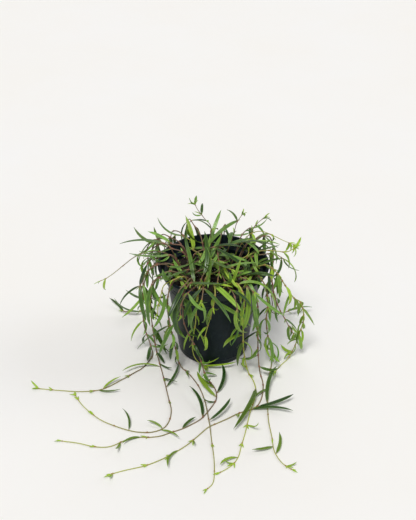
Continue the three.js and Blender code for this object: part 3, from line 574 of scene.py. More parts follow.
# %% Stems that find their way
TINY = 1e-9
ROOT_DEPTH = 14
HOLE_GAP = 0.35
STEM_RADIUS = 0.9
STEM_MARGIN = 0.35
STEM_CLEARANCE = 2.7
CAD_STEP = 12
ROOT_RISE = 2
CLIMB = 62
LEVEL = 4
TIP_OVER = -14
HANG = -22
HANG_PER_MM = 3.4
STEEPEST = -84
LANDING = -10
CREST_BAND = 6
RIM_MARGIN = 3
LANDING_HEIGHT = 12
LANDING_REACH = 18
GROUNDED = 4
NOD = 20
WANDER = 44
HOMING = 0.25
QUARTERS = (0, 0.25, 0.5, 0.75, 1)
DETOURS = (
    (0, 0), (18, 0), (-18, 0), (0, 20), (0, -18), (36, 12), (-36, 12), (0, 42), (55, 0), (-55, 0),
    (30, -25), (-30, -25), (30, 40), (-30, 40), (80, 15), (-80, 15), (0, 65),
)
vines = []


def segment_distance(p, q, a, b):
    """How far apart the lines from p to q and from a to b are."""
    u, v, w = sub(q, p), sub(b, a), sub(p, a)
    uu, uv, vv, uw, vw = dot(u, u), dot(u, v), dot(v, v), dot(u, w), dot(v, w)
    spread = uu * vv - uv * uv
    s = (uv * vw - vv * uw) / spread if spread > TINY else 0
    s = min(1, max(0, s))
    t = min(1, max(0, (uv * s + vw) / vv))
    s = min(1, max(0, (uv * t - uw) / uu))
    return size(sub(add(p, scale(u, s)), add(a, scale(v, t))))


def root_points(root):
    top = float(soil_height(math.sqrt(root[0] * root[0] + root[1] * root[1])))
    return [(root[0], root[1], top - ROOT_DEPTH + HOLE_GAP), (root[0], root[1], top + ROOT_RISE)]


def stem_clear(start, end):
    steps = [mix(start, end, t) for t in QUARTERS[1:]]
    if not clear_of_pot(steps, STEM_RADIUS + STEM_MARGIN):
        return False
    for vine in vines:
        stem = vine["stem"]
        for i in range(len(stem) - 1):
            if segment_distance(start, end, stem[i], stem[i + 1]) < STEM_CLEARANCE:
                return False
    return True


def pitch_at(p, crest):
    """How steeply a stem climbs at a point, in degrees."""
    radius = math.sqrt(p[0] * p[0] + p[1] * p[1])
    if p[2] < GROUNDED:
        return 0
    if p[2] < LANDING_HEIGHT and radius > RIM_RADIUS - LANDING_REACH:
        return LANDING
    if radius > RIM_RADIUS + RIM_MARGIN:
        return max(STEEPEST, HANG - (radius - RIM_RADIUS) * HANG_PER_MM)
    if p[2] <= crest - CREST_BAND:
        return CLIMB
    return LEVEL if radius < RIM_RADIUS else TIP_OVER


def next_point(p, bearing, pitch):
    for aside, above in DETOURS:
        lift, swing = math.radians(pitch + above), math.radians(bearing + aside)
        flat = math.cos(lift)
        step = (flat * math.cos(swing), flat * math.sin(swing), math.sin(lift))
        to = add(p, scale(step, CAD_STEP))
        if p[2] < LANDING_HEIGHT:
            to = (to[0], to[1], max(to[2], LIE))
        if stem_clear(p, to):
            return to
    return None


def grow_stem(root, heading, crest, length, draw):
    stem = root_points(root)
    run, bearing = 0, heading
    while run < length:
        p = stem[-1]
        bearing += (draw() - 0.5) * WANDER
        bearing += (heading - bearing) * HOMING
        pitch = pitch_at(p, crest) + (draw() - 0.5) * NOD
        to = next_point(p, bearing, pitch)
        if to is None:
            break
        stem.append(to)
        run += CAD_STEP
    return stem


print("tries per step:", len(DETOURS))

# %% [markdown]
# Now all stems are set out: the placed ones first, then each kind in turn. A root looks along a
# small spiral for a free spot in the peat. The leaves of most vines are limp, and those of the
# upright sprigs are firm.

# %% Set out the stems
ROOT_TRIES = 60
ROOT_STEP = 0.36
ROOT_TURN = 2.4
ROOT_SPACE = 5
ROOT_REACH = 42
ROOT_ROOM = 4
PATH_TOLERANCE = 1
LIMP = 0.75
TIP_LEAF = 0.4
GROWN_TIP_LEAF = 0.8
BEARING_SWAY = 0.5
NEAREST_ROOT = 0.8
ROOT_SPREAD = 0.3
PLACED_SEED = 101
PLACED_SEED_STEP = 37
GROWN_SEED = 5003
KIND_SEED_STEP = 911
VINE_SEED_STEP = 53


def root_free(x, y):
    top = root_points((x, y))[1]
    for vine in vines:
        dx, dy = vine["root"][0] - x, vine["root"][1] - y
        if math.sqrt(dx * dx + dy * dy) < ROOT_SPACE:
            return False
    if math.sqrt(x * x + y * y) >= ROOT_REACH:
        return False
    return stem_clear(top, add(top, (0, 0, ROOT_ROOM)))


def free_root(radius, heading):
    wanted = math.radians(heading)
    for k in range(ROOT_TRIES):
        x = radius * math.cos(wanted) + ROOT_STEP * k * math.cos(ROOT_TURN * k)
        y = radius * math.sin(wanted) + ROOT_STEP * k * math.sin(ROOT_TURN * k)
        if root_free(x, y):
            return (x, y)
    return None


for index, given in enumerate(PLACED_VINES):
    foot, top = root_points(given["root"])
    path = [(x, y, max(z, LIE)) for x, y, z in smooth([top] + laid(given["path"]))]
    vines.append(given | {
        "path": [foot] + path,
        "stem": [foot] + thin(path, PATH_TOLERANCE),
        "long": [dict(zip(LONG_LEAF_ROW, row)) for row in given["long"]],
        "limp": 0 if given["name"].startswith("sprig") else LIMP,
        "tip_leaf": TIP_LEAF,
        "draw": draws(PLACED_SEED + PLACED_SEED_STEP * index),
    })

for group, kind in enumerate(GROWN_KINDS):
    for i in range(kind["count"]):
        draw = draws(GROWN_SEED + KIND_SEED_STEP * group + VINE_SEED_STEP * i)
        share = (i + BEARING_SWAY * (draw() - 0.5)) / (kind["count"] - 1)
        heading = between(kind["bearings"], share)
        radius = kind["root_radius"] * (NEAREST_ROOT + ROOT_SPREAD * draw())
        crest = between(kind["crest"], draw())
        length = between(kind["length"], draw())
        root = free_root(radius, heading)
        if root is None:
            continue
        way = heading + 180 if kind["inward"] else heading
        stem = grow_stem(root, way, crest, length, draw)
        vines.append({
            "name": "%s_%02d" % (kind["kind"], i + 1),
            "root": root,
            "path": [stem[0]] + smooth(stem[1:]),
            "stem": stem,
            "internode": kind["internode"],
            "leaf": kind["leaf"],
            "long": [],
            "limp": LIMP,
            "tip_leaf": GROWN_TIP_LEAF,
            "draw": draw,
        })
lengths = [size(sub(b, a)) for v in vines for a, b in zip(v["stem"], v["stem"][1:])]
print("vines:", len(vines), "stem length in all:", round(sum(lengths) * MM, 2), "m")

# %% [markdown]
# A plain stem is a string of three-cornered rings, and a plain leaf is a spike of them, which bends
# down by its droop and aside by its sickle. What counts as in the way of a new piece is the long
# lines that join such rings and the faces between them.

# %% The plain stems and leaves
LONG_BLADE = ((0, 0.12), (0.18, 0.88), (0.5, 1), (0.82, 0.76), (1, 0))
SHORT_BLADE = ((0, 0.12), (0.26, 1), (0.7, 0.82), (1, 0))
LONG_LEAF = 35
LEAF_KEEL = 1.15
KEEL_LEAST = 0.35
KEEL_SHARE = 0.6
STEM_TIP = 0.6


def stem_rings(stem):
    rings, side = [], (1, 0, 0)
    for i, p in enumerate(stem):
        before = unit(sub(p, stem[i - 1])) if i > 0 else None
        after = unit(sub(stem[i + 1], p)) if i + 1 < len(stem) else None
        along = unit(add(before or after, after or before))
        side = square(side, along)
        other = cross(along, side)
        radius = STEM_RADIUS if i + 1 < len(stem) else STEM_RADIUS * STEM_TIP
        ring = []
        for k in range(3):
            angle = math.radians(120 * k)
            out = add(scale(side, math.cos(angle)), scale(other, math.sin(angle)))
            ring.append(add(p, scale(out, radius)))
        rings.append(ring)
    return rings


def leaf_step(leaf, p, along, face, share):
    """The place and directions a share of the length further along a leaf's bent middle line."""
    droop, side = math.radians(leaf["droop"] * share), cross(face, along)
    along, face = turn(along, side, droop / 2), turn(face, side, droop / 2)
    along = turn(along, face, math.radians(leaf["sickle"] * share))
    p = add(p, scale(along, leaf["length"] * share))
    side = cross(face, along)
    return p, turn(along, side, droop / 2), turn(face, side, droop / 2)


def leaf_rings(leaf, grow):
    """The plain leaf as a spike of three-cornered rings, larger all round by grow."""
    rings = []
    blade = SHORT_BLADE if leaf["length"] < LONG_LEAF else LONG_BLADE
    p, along, face = leaf["base"], leaf["along"], leaf["face"]
    for i, (station, width) in enumerate(blade):
        side = cross(face, along)
        half = (leaf["width"] / 2) * width + grow
        thick = LEAF_KEEL * (KEEL_LEAST + (1 - KEEL_LEAST) * width)
        lift = (1 - KEEL_SHARE) * thick + grow
        rings.append([
            add(p, scale(face, -KEEL_SHARE * thick - grow)),
            add(add(p, scale(side, half)), scale(face, lift)),
            add(add(p, scale(side, -half)), scale(face, lift)),
        ])
        if i + 1 < len(blade):
            p, along, face = leaf_step(leaf, p, along, face, blade[i + 1][0] - station)
    if grow == 0:
        rings[-1] = [p, p, p]
    return rings


def long_lines(rings):
    rings = np.array(rings, float)
    return np.stack([rings[:-1], rings[1:]], axis=2).reshape(-1, 2, 3)


def side_faces(rings):
    rings = np.array(rings, float)
    near, far = rings[:-1], rings[1:]
    near_next, far_next = np.roll(near, -1, axis=1), np.roll(far, -1, axis=1)
    first = np.stack([near, near_next, far], axis=2)
    second = np.stack([near_next, far_next, far], axis=2)
    return np.concatenate([first, second], axis=1).reshape(-1, 3, 3)


print("rings in a short leaf:", len(SHORT_BLADE), "and in a long one:", len(LONG_BLADE))

# %% [markdown]
# A leaf is tried against all that is there already. It fits if none of its long lines passes
# through a face of another piece, nor the other way round. The lines and faces of one try are
# tested together, which is what makes this quick. Close to its base a leaf may touch its own vine,
# since it grows out of it.

# %% Room for a leaf
LEAF_SPACE = 0.45
FLOOR_CLEARANCE = 0.3
OWN_REACH = 11
LOOK_STEP = 1.2
MOST_BULKS = 4000


def cross3(a, b):
    return np.stack([
        a[..., 1] * b[..., 2] - a[..., 2] * b[..., 1],
        a[..., 2] * b[..., 0] - a[..., 0] * b[..., 2],
        a[..., 0] * b[..., 1] - a[..., 1] * b[..., 0],
    ], axis=-1)


def dot3(a, b):
    return a[..., 0] * b[..., 0] + a[..., 1] * b[..., 1] + a[..., 2] * b[..., 2]


def cuts(lines, faces):
    """True where any of the lines passes through any of the faces."""
    reach = (lines[:, 1] - lines[:, 0])[:, None]
    start = lines[:, 0][:, None]
    corner = faces[:, 0][None]
    u = (faces[:, 1] - faces[:, 0])[None]
    v = (faces[:, 2] - faces[:, 0])[None]
    h = cross3(reach, v)
    lean = dot3(u, h)
    flat = np.abs(lean) < TINY
    lean = np.where(flat, 1, lean)
    s = start - corner
    a = dot3(s, h) / lean
    q = cross3(s, u)
    b = dot3(reach, q) / lean
    t = dot3(v, q) / lean
    through = ~flat & (a >= 0) & (a <= 1) & (b >= 0) & (a + b <= 1) & (t >= 0) & (t <= 1)
    return bool(through.any())


taken = []
taken_low = np.zeros((MOST_BULKS, 3))
taken_high = np.zeros((MOST_BULKS, 3))


def settle(rings, vine, start, end):
    """Notes a piece of plant that whatever comes later has to keep clear of."""
    points = np.array(rings, float).reshape(-1, 3)
    taken_low[len(taken)] = points.min(axis=0)
    taken_high[len(taken)] = points.max(axis=0)
    taken.append({
        "lines": long_lines(rings), "faces": side_faces(rings),
        "vine": vine, "start": start, "end": end,
    })


def away_from(p, start, end):
    reach = sub(end, start)
    t = dot(sub(p, start), reach) / (dot(reach, reach) or 1)
    return size(sub(p, add(start, scale(reach, min(1, max(0, t))))))


def look_points(lines):
    """Close points along the lines, to be held against the pot and the floor."""
    looks = []
    for start, end in lines:
        count = math.ceil(math.sqrt(dot(end - start, end - start)) / LOOK_STEP)
        t = (np.arange(count + 1) / count)[:, None]
        looks.append(start * (1 - t) + end * t)
    return np.concatenate(looks)


def leaf_fits(leaf, vine):
    rings = leaf_rings(leaf, LEAF_SPACE)
    lines, faces = long_lines(rings), side_faces(rings)
    corners = np.array(rings, float)
    seams = long_lines(corners * 0.5 + np.roll(corners, -1, axis=1) * 0.5)
    if not clear_of_pot(look_points(np.concatenate([lines, seams])), FLOOR_CLEARANCE):
        return False
    low, high = corners.reshape(-1, 3).min(axis=0), corners.reshape(-1, 3).max(axis=0)
    count = len(taken)
    meet = np.all((taken_low[:count] <= high) & (low <= taken_high[:count]), axis=1)
    for k in np.flatnonzero(meet):
        other = taken[k]
        away = away_from(leaf["base"], other["start"], other["end"])
        if other["vine"] is vine and away < OWN_REACH:
            continue
        if cuts(lines, other["faces"]) or cuts(other["lines"], faces):
            return False
    return True


for vine in vines:
    rings = stem_rings(vine["stem"])
    for i in range(len(rings) - 1):
        settle(rings[i : i + 2], vine, vine["stem"][i], vine["stem"][i + 1])
print("stem pieces to keep clear of:", len(taken))

# %% [markdown]
# The joints stand at uneven distances along a stem, wider apart where it lies on the floor. Every
# joint may carry a pair of leaves, turned from the pair before it. A limp leaf hangs most where it
# stands high in the crown, and less where its stem hangs. A leaf that doesn't fit is turned about
# the stem and bent less, a dozen tries in all, and then left out, as a crowded leaf is shed.

# %% Joints and their leaves
FIRST_NODE = 9
END_INSET = 0.8
LYING_BELOW = 6
LYING_STRETCH = 2.6
FREE = {"width": 2.6, "spread": 36, "chance": 0.56}
LYING = {"width": 1.5, "spread": 24, "chance": 0.16}
WIDTH_PER_LENGTH = (0.03, 0.065)
SPREAD_MORE = 34
DROOP = (40, 125)
UPCURVED = 0.12
UPCURVE = -0.8
SICKLE = 60
SWAY = 50
STEEP = 0.75
UPRIGHT = 0.9
LEANING_TURN = 35
LYING_SWAY = 0.45
LEAST_INTERNODE = 0.75
INTERNODE_SPREAD = 0.5
TIP_FADE = 3
FACE_AHEAD = 0.35
FACE_OUT = 0.25
CROWN_ABOVE = 98
HANGING_LIMP = 0.13
TRIES = (
    (0, 1), (26, 0.9), (-26, 0.9), (50, 0.7), (-50, 0.7), (10, -0.6), (76, 0.5), (-76, 0.5),
    (105, 0.6), (-105, 0.6), (140, 0.3), (-140, 0.3),
)


def leaf_nodes(vine):
    """The joints of a vine: where they are, which way it runs and how grown their leaves are."""
    nodes, to_next, stem = [], FIRST_NODE, vine["stem"]
    for i in range(1, len(stem) - 1):
        reach = sub(stem[i + 1], stem[i])
        length, along, done = size(reach), unit(reach), 0
        while done + to_next < length:
            done += to_next
            nodes.append({"place": add(stem[i], scale(along, done)), "along": along})
            to_next = vine["internode"] * (LEAST_INTERNODE + INTERNODE_SPREAD * vine["draw"]())
            if stem[i][2] < LYING_BELOW:
                to_next *= LYING_STRETCH
        to_next -= length - done
    end = unit(sub(stem[-1], stem[-2]))
    nodes.append({"place": sub(stem[-1], scale(end, END_INSET)), "along": end})
    for k, node in enumerate(nodes):
        node["grown"] = between((1, vine["tip_leaf"]), (k / len(nodes)) ** TIP_FADE)
    return nodes


def leaf_on_node(vine, node, side, quarter):
    draw, place, stem = vine["draw"], node["place"], node["along"]
    kind = LYING if place[2] < LYING_BELOW else FREE
    length = between(vine["leaf"], draw()) * node["grown"]
    width = kind["width"] + length * between(WIDTH_PER_LENGTH, draw())
    spread = math.radians(kind["spread"] + SPREAD_MORE * draw())
    curve = UPCURVE if draw() < UPCURVED else 1
    droop = curve * between(DROOP, draw())
    sickle = (draw() - 0.5) * SICKLE
    sway = (draw() - 0.5) * SWAY
    if draw() > kind["chance"]:
        return None
    level = square((1, 0, 0) if abs(stem[2]) > UPRIGHT else UP, stem)
    for more, bend in TRIES:
        about = 90 + (LEANING_TURN if quarter else -LEANING_TURN) + sway + more
        if abs(stem[2]) > STEEP:
            about = 45 + 90 * quarter + sway + more
        if kind is LYING:
            about = 90 + (sway + more) * LYING_SWAY
        out = turn(level, stem, math.radians(about + 180 * side))
        free = add(scale(stem, math.cos(spread)), scale(out, math.sin(spread)))
        limp = vine["limp"] * (1 if place[2] > CROWN_ABOVE else HANGING_LIMP)
        along = unit(free if kind is LYING else sub(free, (0, 0, limp)))
        face = square(add(add(UP, scale(stem, FACE_AHEAD)), scale(out, FACE_OUT)), along)
        leaf = {
            "base": place, "along": along, "face": face,
            "length": length, "width": width, "droop": droop * bend, "sickle": sickle,
        }
        if leaf_fits(leaf, vine):
            return leaf
    return None


print("tries per leaf:", len(TRIES))

# %% [markdown]
# The placed long leaves come first. Each is bowed to one side, more or less by turns, or to the
# other side or not at all where that is what fits. Then the vines take their turns joint by joint,
# so none of them takes all the room.

# %% Set out the leaves
BOWS = (44, -30, 56, -38)


def long_leaf(vine, wanted, bow):
    """A leaf from the nearest place on the stem to the wanted tip, bowed to one side."""
    base, near, stem = vine["stem"][0], wanted["near"], vine["stem"]
    for i in range(len(stem) - 1):
        for t in QUARTERS[:-1]:
            p = mix(stem[i], stem[i + 1], t)
            if size(sub(p, near)) < size(sub(base, near)):
                base = p
    reach = sub(wanted["tip"], base)
    chord = unit(reach)
    flat = square(UP, chord)
    side = cross(flat, chord)
    half = -math.radians(wanted["droop"]) / 2
    face = turn(flat, side, half)
    along = turn(turn(chord, side, half), face, -math.radians(bow) / 2)
    return {
        "base": base, "along": along, "face": face,
        "length": size(reach), "width": wanted["width"], "droop": wanted["droop"], "sickle": bow,
    }


def bowed_leaf(vine, wanted, bow):
    """The long leaf with its bow aside, or bowed the other way, or straight, if one fits."""
    for sickle in (bow, -bow, 0):
        leaf = long_leaf(vine, wanted, sickle)
        if leaf_fits(leaf, vine):
            return leaf
    return None


def keep_leaf(vine, leaf):
    vine["leaves"].append(leaf)
    settle(leaf_rings(leaf, 0), vine, leaf["base"], leaf["base"])


for v, vine in enumerate(vines):
    vine["nodes"] = leaf_nodes(vine)
    long = [bowed_leaf(vine, w, BOWS[(v + k) % len(BOWS)]) for k, w in enumerate(vine["long"])]
    vine["leaves"] = []
    for leaf in filter(None, long):
        keep_leaf(vine, leaf)
for k in range(max(len(vine["nodes"]) for vine in vines)):
    for vine in [v for v in vines if k < len(v["nodes"])]:
        for side in (0, 1):
            leaf = leaf_on_node(vine, vine["nodes"][k], side, k % 2)
            if leaf:
                keep_leaf(vine, leaf)
print("joints:", sum(len(v["nodes"]) for v in vines))
print("leaves:", sum(len(v["leaves"]) for v in vines))

# %% [markdown]
# ## The fine leaf
#
# Close up, a leaf of this plant is a narrow fleshy blade, about a millimetre thick. Its upper side
# has a groove along the middle, its underside is rounded, and it stands on a short thin stalk. It
# could be a flat card with a picture of a leaf, but then its edge would vanish from the side. So
# each leaf is a loft: one closed outline, drawn again and again along the leaf's curve and
# widened by a smooth profile that passes through the plain leaf's stations.
#
# All the faces of one vine go into one mesh, so a skin here is a set of growing lists. It also
# keeps some marks at each point: which leaf is lighter, how young the growth is, which side is the
# underside, and where the joints are. The finishes read them later.

# %% A skin that rings are added to
MARKS = ("tone", "youth", "under", "knot")
STEM_SLOT = 0
LEAF_SLOT = 1


def new_skin():
    return {"points": [], "faces": [], "slots": [], "uv": [], "count": 0} | {m: [] for m in MARKS}


def add_rings(skin, rings, u, v, slot, **marks):
    """Adds a closed loft of rings, with u around each ring, v along, and a mark value per ring."""
    rings = np.asarray(rings, float)
    rows, sides = rings.shape[:2]
    index = skin["count"] + np.arange(rows * sides).reshape(rows, sides)
    after = np.roll(index, -1, axis=1)
    quads = np.stack([index[:-1], after[:-1], after[1:], index[1:]], axis=-1).reshape(-1, 4)
    skin["faces"] += quads.tolist() + [index[0][::-1].tolist(), index[-1].tolist()]
    skin["slots"] += [slot] * (len(quads) + 2)
    skin["points"].append(rings.reshape(-1, 3))
    uv = np.broadcast_arrays(np.asarray(u)[None], np.asarray(v)[:, None])
    skin["uv"].append(np.stack(uv, axis=-1).reshape(-1, 2))
    for name in MARKS:
        value = np.asarray(marks.get(name, 0.0), float)
        if value.ndim == 1 and len(value) == rows:
            value = value[:, None]
        skin[name].append(np.broadcast_to(value, (rows, sides)).reshape(-1))
    skin["count"] += rows * sides


def shade_smooth(mesh):
    mesh.polygons.foreach_set("use_smooth", [True] * len(mesh.polygons))


def finish_skin(skin, name, materials):
    """Makes the mesh object of a skin, in metres, with its uv map and its marks."""
    mesh = bpy.data.meshes.new(name)
    mesh.from_pydata((np.concatenate(skin["points"]) * MM).tolist(), [], skin["faces"])
    mesh.polygons.foreach_set("material_index", skin["slots"])
    shade_smooth(mesh)
    corner = np.zeros(len(mesh.loops), int)
    mesh.loops.foreach_get("vertex_index", corner)
    uv = np.concatenate(skin["uv"])[corner]
    mesh.uv_layers.new(name="lie").data.foreach_set("uv", uv.reshape(-1))
    for mark in MARKS:
        layer = mesh.attributes.new(mark, "FLOAT", "POINT")
        layer.data.foreach_set("value", np.concatenate(skin[mark]))
    for material in materials:
        mesh.materials.append(material)
    mesh.update()
    return link(bpy.data.objects.new(name, mesh))


print("marks at each point:", ", ".join(MARKS))

# %% [markdown]
# The leaf's outline has nine points over the top, from edge to edge, and five round the
# underside. The groove is a narrow dip at the middle. The width along the leaf is a smooth
# curve that never overshoots its stations, so the tip stays a tip.

# %% The leaf's outline
TOP_ACROSS = np.array([-1, -0.82, -0.5, -0.2, 0, 0.2, 0.5, 0.82, 1])
UNDER_ACROSS = np.array([0.85, 0.45, 0, -0.45, -0.85])
LEAF_ACROSS = np.concatenate([TOP_ACROSS, UNDER_ACROSS])
IS_UNDER = np.concatenate([np.zeros(len(TOP_ACROSS)), np.ones(len(UNDER_ACROSS))])
GROOVE = 0.3
GROOVE_WIDTH = 0.2
EDGE_DROP = 0.2
UNDER_ROUND = 1.8


def eased(stations, t):
    """A smooth curve through (place, value) stations that doesn't overshoot them."""
    x, y = (np.array(c, float) for c in zip(*stations))
    h, rise = np.diff(x), np.diff(y) / np.diff(x)
    slope = np.concatenate([[rise[0]], np.zeros(len(x) - 2), [rise[-1]]])
    for i in range(1, len(x) - 1):
        if rise[i - 1] * rise[i] > 0:
            a, b = 2 * h[i] + h[i - 1], h[i] + 2 * h[i - 1]
            slope[i] = (a + b) / (a / rise[i - 1] + b / rise[i])
    k = np.clip(np.searchsorted(x, t, side="right") - 1, 0, len(h) - 1)
    s = (t - x[k]) / h[k]
    start = (1 + 2 * s) * (1 - s) ** 2 * y[k] + s * (1 - s) ** 2 * h[k] * slope[k]
    return start + s * s * (3 - 2 * s) * y[k + 1] + s * s * (s - 1) * h[k] * slope[k + 1]


def leaf_outline(half, thick):
    """Across and up offsets of the leaf's outline, in millimetres."""
    across = LEAF_ACROSS
    groove = GROOVE * np.exp(-((across / GROOVE_WIDTH) ** 2))
    top = 1 - KEEL_SHARE - EDGE_DROP * across**4 - groove
    low = 1 - KEEL_SHARE - EDGE_DROP
    under = -KEEL_SHARE + (KEEL_SHARE + low) * np.abs(across) ** UNDER_ROUND
    return across * half, np.where(IS_UNDER > 0, under, top) * thick


print("points round a leaf:", len(LEAF_ACROSS))

# %% [markdown]
# The loft follows the plain leaf's middle line in steps of two millimetres, turned a little about
# it by a twist of its own. A ring that would dip into the floor is lifted.

# %% The leaf's loft
LEAF_STEP = 2.0
FEWEST_ROWS = 8
MOST_ROWS = 30
TIP_WIDTH = 0.03
OFF_FLOOR = 0.2
LYING_TONE = 0.25


def off_floor(ring):
    """Lifts a ring that would dip into the floor."""
    return ring + np.array([0, 0, max(0.0, OFF_FLOOR - ring[:, 2].min())])


def add_leaf(skin, leaf, shift, tone, youth, twist, keel=LEAF_KEEL):
    """Adds a leaf's loft, its root moved by a shift and its blade twisted by an angle."""
    blade = SHORT_BLADE if leaf["length"] < LONG_LEAF else LONG_BLADE
    rows = int(min(MOST_ROWS, max(FEWEST_ROWS, round(leaf["length"] / LEAF_STEP))))
    t = np.linspace(0, 1, rows + 1)
    width = np.maximum(eased(blade, t), TIP_WIDTH)
    p, along, face = leaf["base"], leaf["along"], leaf["face"]
    tone = tone * (LYING_TONE if p[2] < LYING_BELOW else 1)
    rings = []
    for i in range(rows + 1):
        tilted = turn(face, along, math.radians(twist * t[i]))
        side = cross(tilted, along)
        thick = keel * (KEEL_LEAST + (1 - KEEL_LEAST) * width[i])
        across, up = leaf_outline(leaf["width"] / 2 * width[i], thick)
        here = add(p, scale(shift, (1 - t[i]) ** 2))
        ring = np.array(here) + across[:, None] * side + up[:, None] * np.array(tilted)
        rings.append(off_floor(ring))
        p, along, face = leaf_step(leaf, p, along, face, 1 / rows)
    add_rings(skin, rings, (LEAF_ACROSS + 1) / 2, t, LEAF_SLOT, tone=tone, youth=youth,
              under=np.broadcast_to(IS_UNDER, (rows + 1, len(IS_UNDER))))


print("rows along a leaf: from", FEWEST_ROWS, "to", MOST_ROWS)

# %% [markdown]
# ## The fine stem
#
# The stems are wires of a millimetre and a half where they leave the peat, and about half of that
# at the tip. Each joint is a little swollen. A curve with a round bevel would make the wire, but
# not the joints, so the stem is a loft too: rings about every two millimetres, and five close ones
# at a joint. Where a vine lies, it is let down until its own radius touches the floor.

# %% The stem
STEM_SIDES = 8
STEM_STEP = 2.2
ROOT_END = 0.78
TIP_END = 0.42
KNOT_SWELL = 0.6
KNOT_LENGTH = 1.0
KNOT_RINGS = (-1.5, -0.7, 0, 0.7, 1.5)
FEWEST_RINGS = 4
CLOSEST_RINGS = 0.25
LAST_RING = 0.5
TAPER = 1.3
FINE_SLIM = 0.78
UV_LENGTH = 10
LIE_BAND = 6
FINE_VINES = ("sprig", "vine_left_tendril", "vine_right_tendril")


def along_path(path):
    """The points of a path, and how far along it each of them is."""
    points = np.array(path)
    steps = np.sqrt(((points[1:] - points[:-1]) ** 2).sum(axis=1))
    return points, np.concatenate([[0], np.cumsum(steps)])


def at_run(points, run, s):
    return np.stack([np.interp(s, run, points[:, k]) for k in range(3)], axis=-1)


def nearest_run(points, run, place):
    start, reach = points[:-1], points[1:] - points[:-1]
    t = ((place - start) * reach).sum(axis=1) / np.maximum((reach**2).sum(axis=1), TINY)
    t = np.clip(t, 0, 1)[:, None]
    away = ((start + reach * t - place) ** 2).sum(axis=1)
    k = int(np.argmin(away))
    return float(run[k] + t[k, 0] * (run[k + 1] - run[k]))


def stem_radius(vine, share):
    slim = FINE_SLIM if vine["name"].startswith(FINE_VINES) else 1
    return slim * (ROOT_END + (TIP_END - ROOT_END) * share**TAPER)


def let_down(points, radius):
    """Lowers what lies on the floor until its own radius touches it."""
    lying = np.clip(1 - (points[:, 2] - LIE) / LIE_BAND, 0, 1)
    drop = np.maximum((LIE - radius - FLOOR_CLEARANCE / 2) * lying, 0)
    return points - drop[:, None] * np.array(UP)


def ring_places(total, knots):
    """How far along the stem its rings stand: evenly spaced, and close together at a joint."""
    even = np.linspace(0, total, max(FEWEST_RINGS, round(total / STEM_STEP))).tolist()
    close = {k + d for k in knots for d in KNOT_RINGS if 0 < k + d < total}
    s = np.array(sorted(close | set(even)))
    return s[np.concatenate([[True], np.diff(s) > CLOSEST_RINGS])]


def add_stem(skin, vine, tone, youth):
    points, run = along_path(vine["path"])
    total = run[-1]
    knots = [nearest_run(points, run, np.array(node["place"])) for node in vine["nodes"]]
    s = ring_places(total, knots)
    away = np.abs(s[:, None] - np.array(knots)[None]).min(axis=1)
    knot = np.exp(-((away / KNOT_LENGTH) ** 2))
    share = s / total
    radius = stem_radius(vine, share) * (1 + KNOT_SWELL * knot)
    radius[-1] *= LAST_RING
    centre = let_down(at_run(points, run, s), stem_radius(vine, share))
    rings, side = [], (1, 0, 0)
    angle = np.arange(STEM_SIDES) * 2 * math.pi / STEM_SIDES
    for p, way, r in zip(centre, np.gradient(centre, axis=0), radius):
        way = unit(tuple(way))
        side = square(side, way)
        other = cross(way, side)
        circle = np.cos(angle)[:, None] * side + np.sin(angle)[:, None] * np.array(other)
        rings.append(off_floor(p + r * circle))
    around = np.abs(np.arange(STEM_SIDES) / STEM_SIDES - 0.5) * 2
    add_rings(skin, rings, around, s / UV_LENGTH, STEM_SLOT,
              tone=tone, youth=youth(share), knot=knot)
    return points, run, knots


print("rings at a joint:", len(KNOT_RINGS))

# %% [markdown]
# ## How old each part is
#
# The colour of this plant follows its age. Old stems are pinkish brown and old leaves deep green.
# The growing ends are yellow green, and a few whole vines are young. So each vine gets an age at
# its root and one at its tip, and each leaf its own small difference.

# %% Young and old vines
YOUTH = {
    "vine_base_curl": (0.85, 1.0),
    "vine_front_short": (0.55, 0.8),
    "vine_low_sweep": (0.2, 0.8),
    "vine_front_centre": (0.75, 0.8),
    "vine_right_front": (0.3, 0.7),
    "vine_right_tendril": (0.35, 0.9),
    "vine_right_top": (0.3, 0.8),
    "vine_left_tendril": (0.1, 0.6),
    "vine_far_left": (0.05, 0.75),
    "vine_left_bundle": (0.02, 0.8),
    "vine_front_sweep": (0.02, 0.85),
    "vine_front_long": (0.05, 0.7),
}
OTHER_YOUTH = (0.02, 0.35)
YOUNG_SHARE = 0.16
YOUNG_YOUTH = (0.45, 0.85)
YOUTH_BEND = 2.6


def age_of(vine, draw):
    picked = draw()
    if vine["name"] in YOUTH:
        return YOUTH[vine["name"]]
    return YOUNG_YOUTH if picked < YOUNG_SHARE else OTHER_YOUTH


def youth_curve(age):
    return lambda share: age[0] + (age[1] - age[0]) * np.asarray(share) ** YOUTH_BEND


print("vines with an age of their own:", len(YOUTH))

# %% [markdown]
# Some joints hold a pair of tiny new leaves, and every growing end has a tuft of two. They are
# narrow, close to the stem and a little younger than it is there.

# %% Tiny leaves
BUD_CHANCE = 0.5
BUD_LENGTH = (3, 9)
TIP_LEAF_LENGTH = (4, 9)
BUD_WIDTH = 0.9
BUD_WIDTH_PER_LENGTH = 0.09
BUD_KEEL = 0.7
BUD_FACE_OUT = -0.4
BUD_DROOP = 10
BUD_DROOP_MORE = 50
BUD_SPREAD = 16
TIP_SPREAD = 6
BUD_SPREAD_MORE = 20
BUD_YOUNGER = 0.3
BUD_ROOM = 0.5
BUD_STEM_RADIUS = 0.5
LOOK_AHEAD = 0.6
LYING_RISE = 0.08
LYING_DROOP = 4


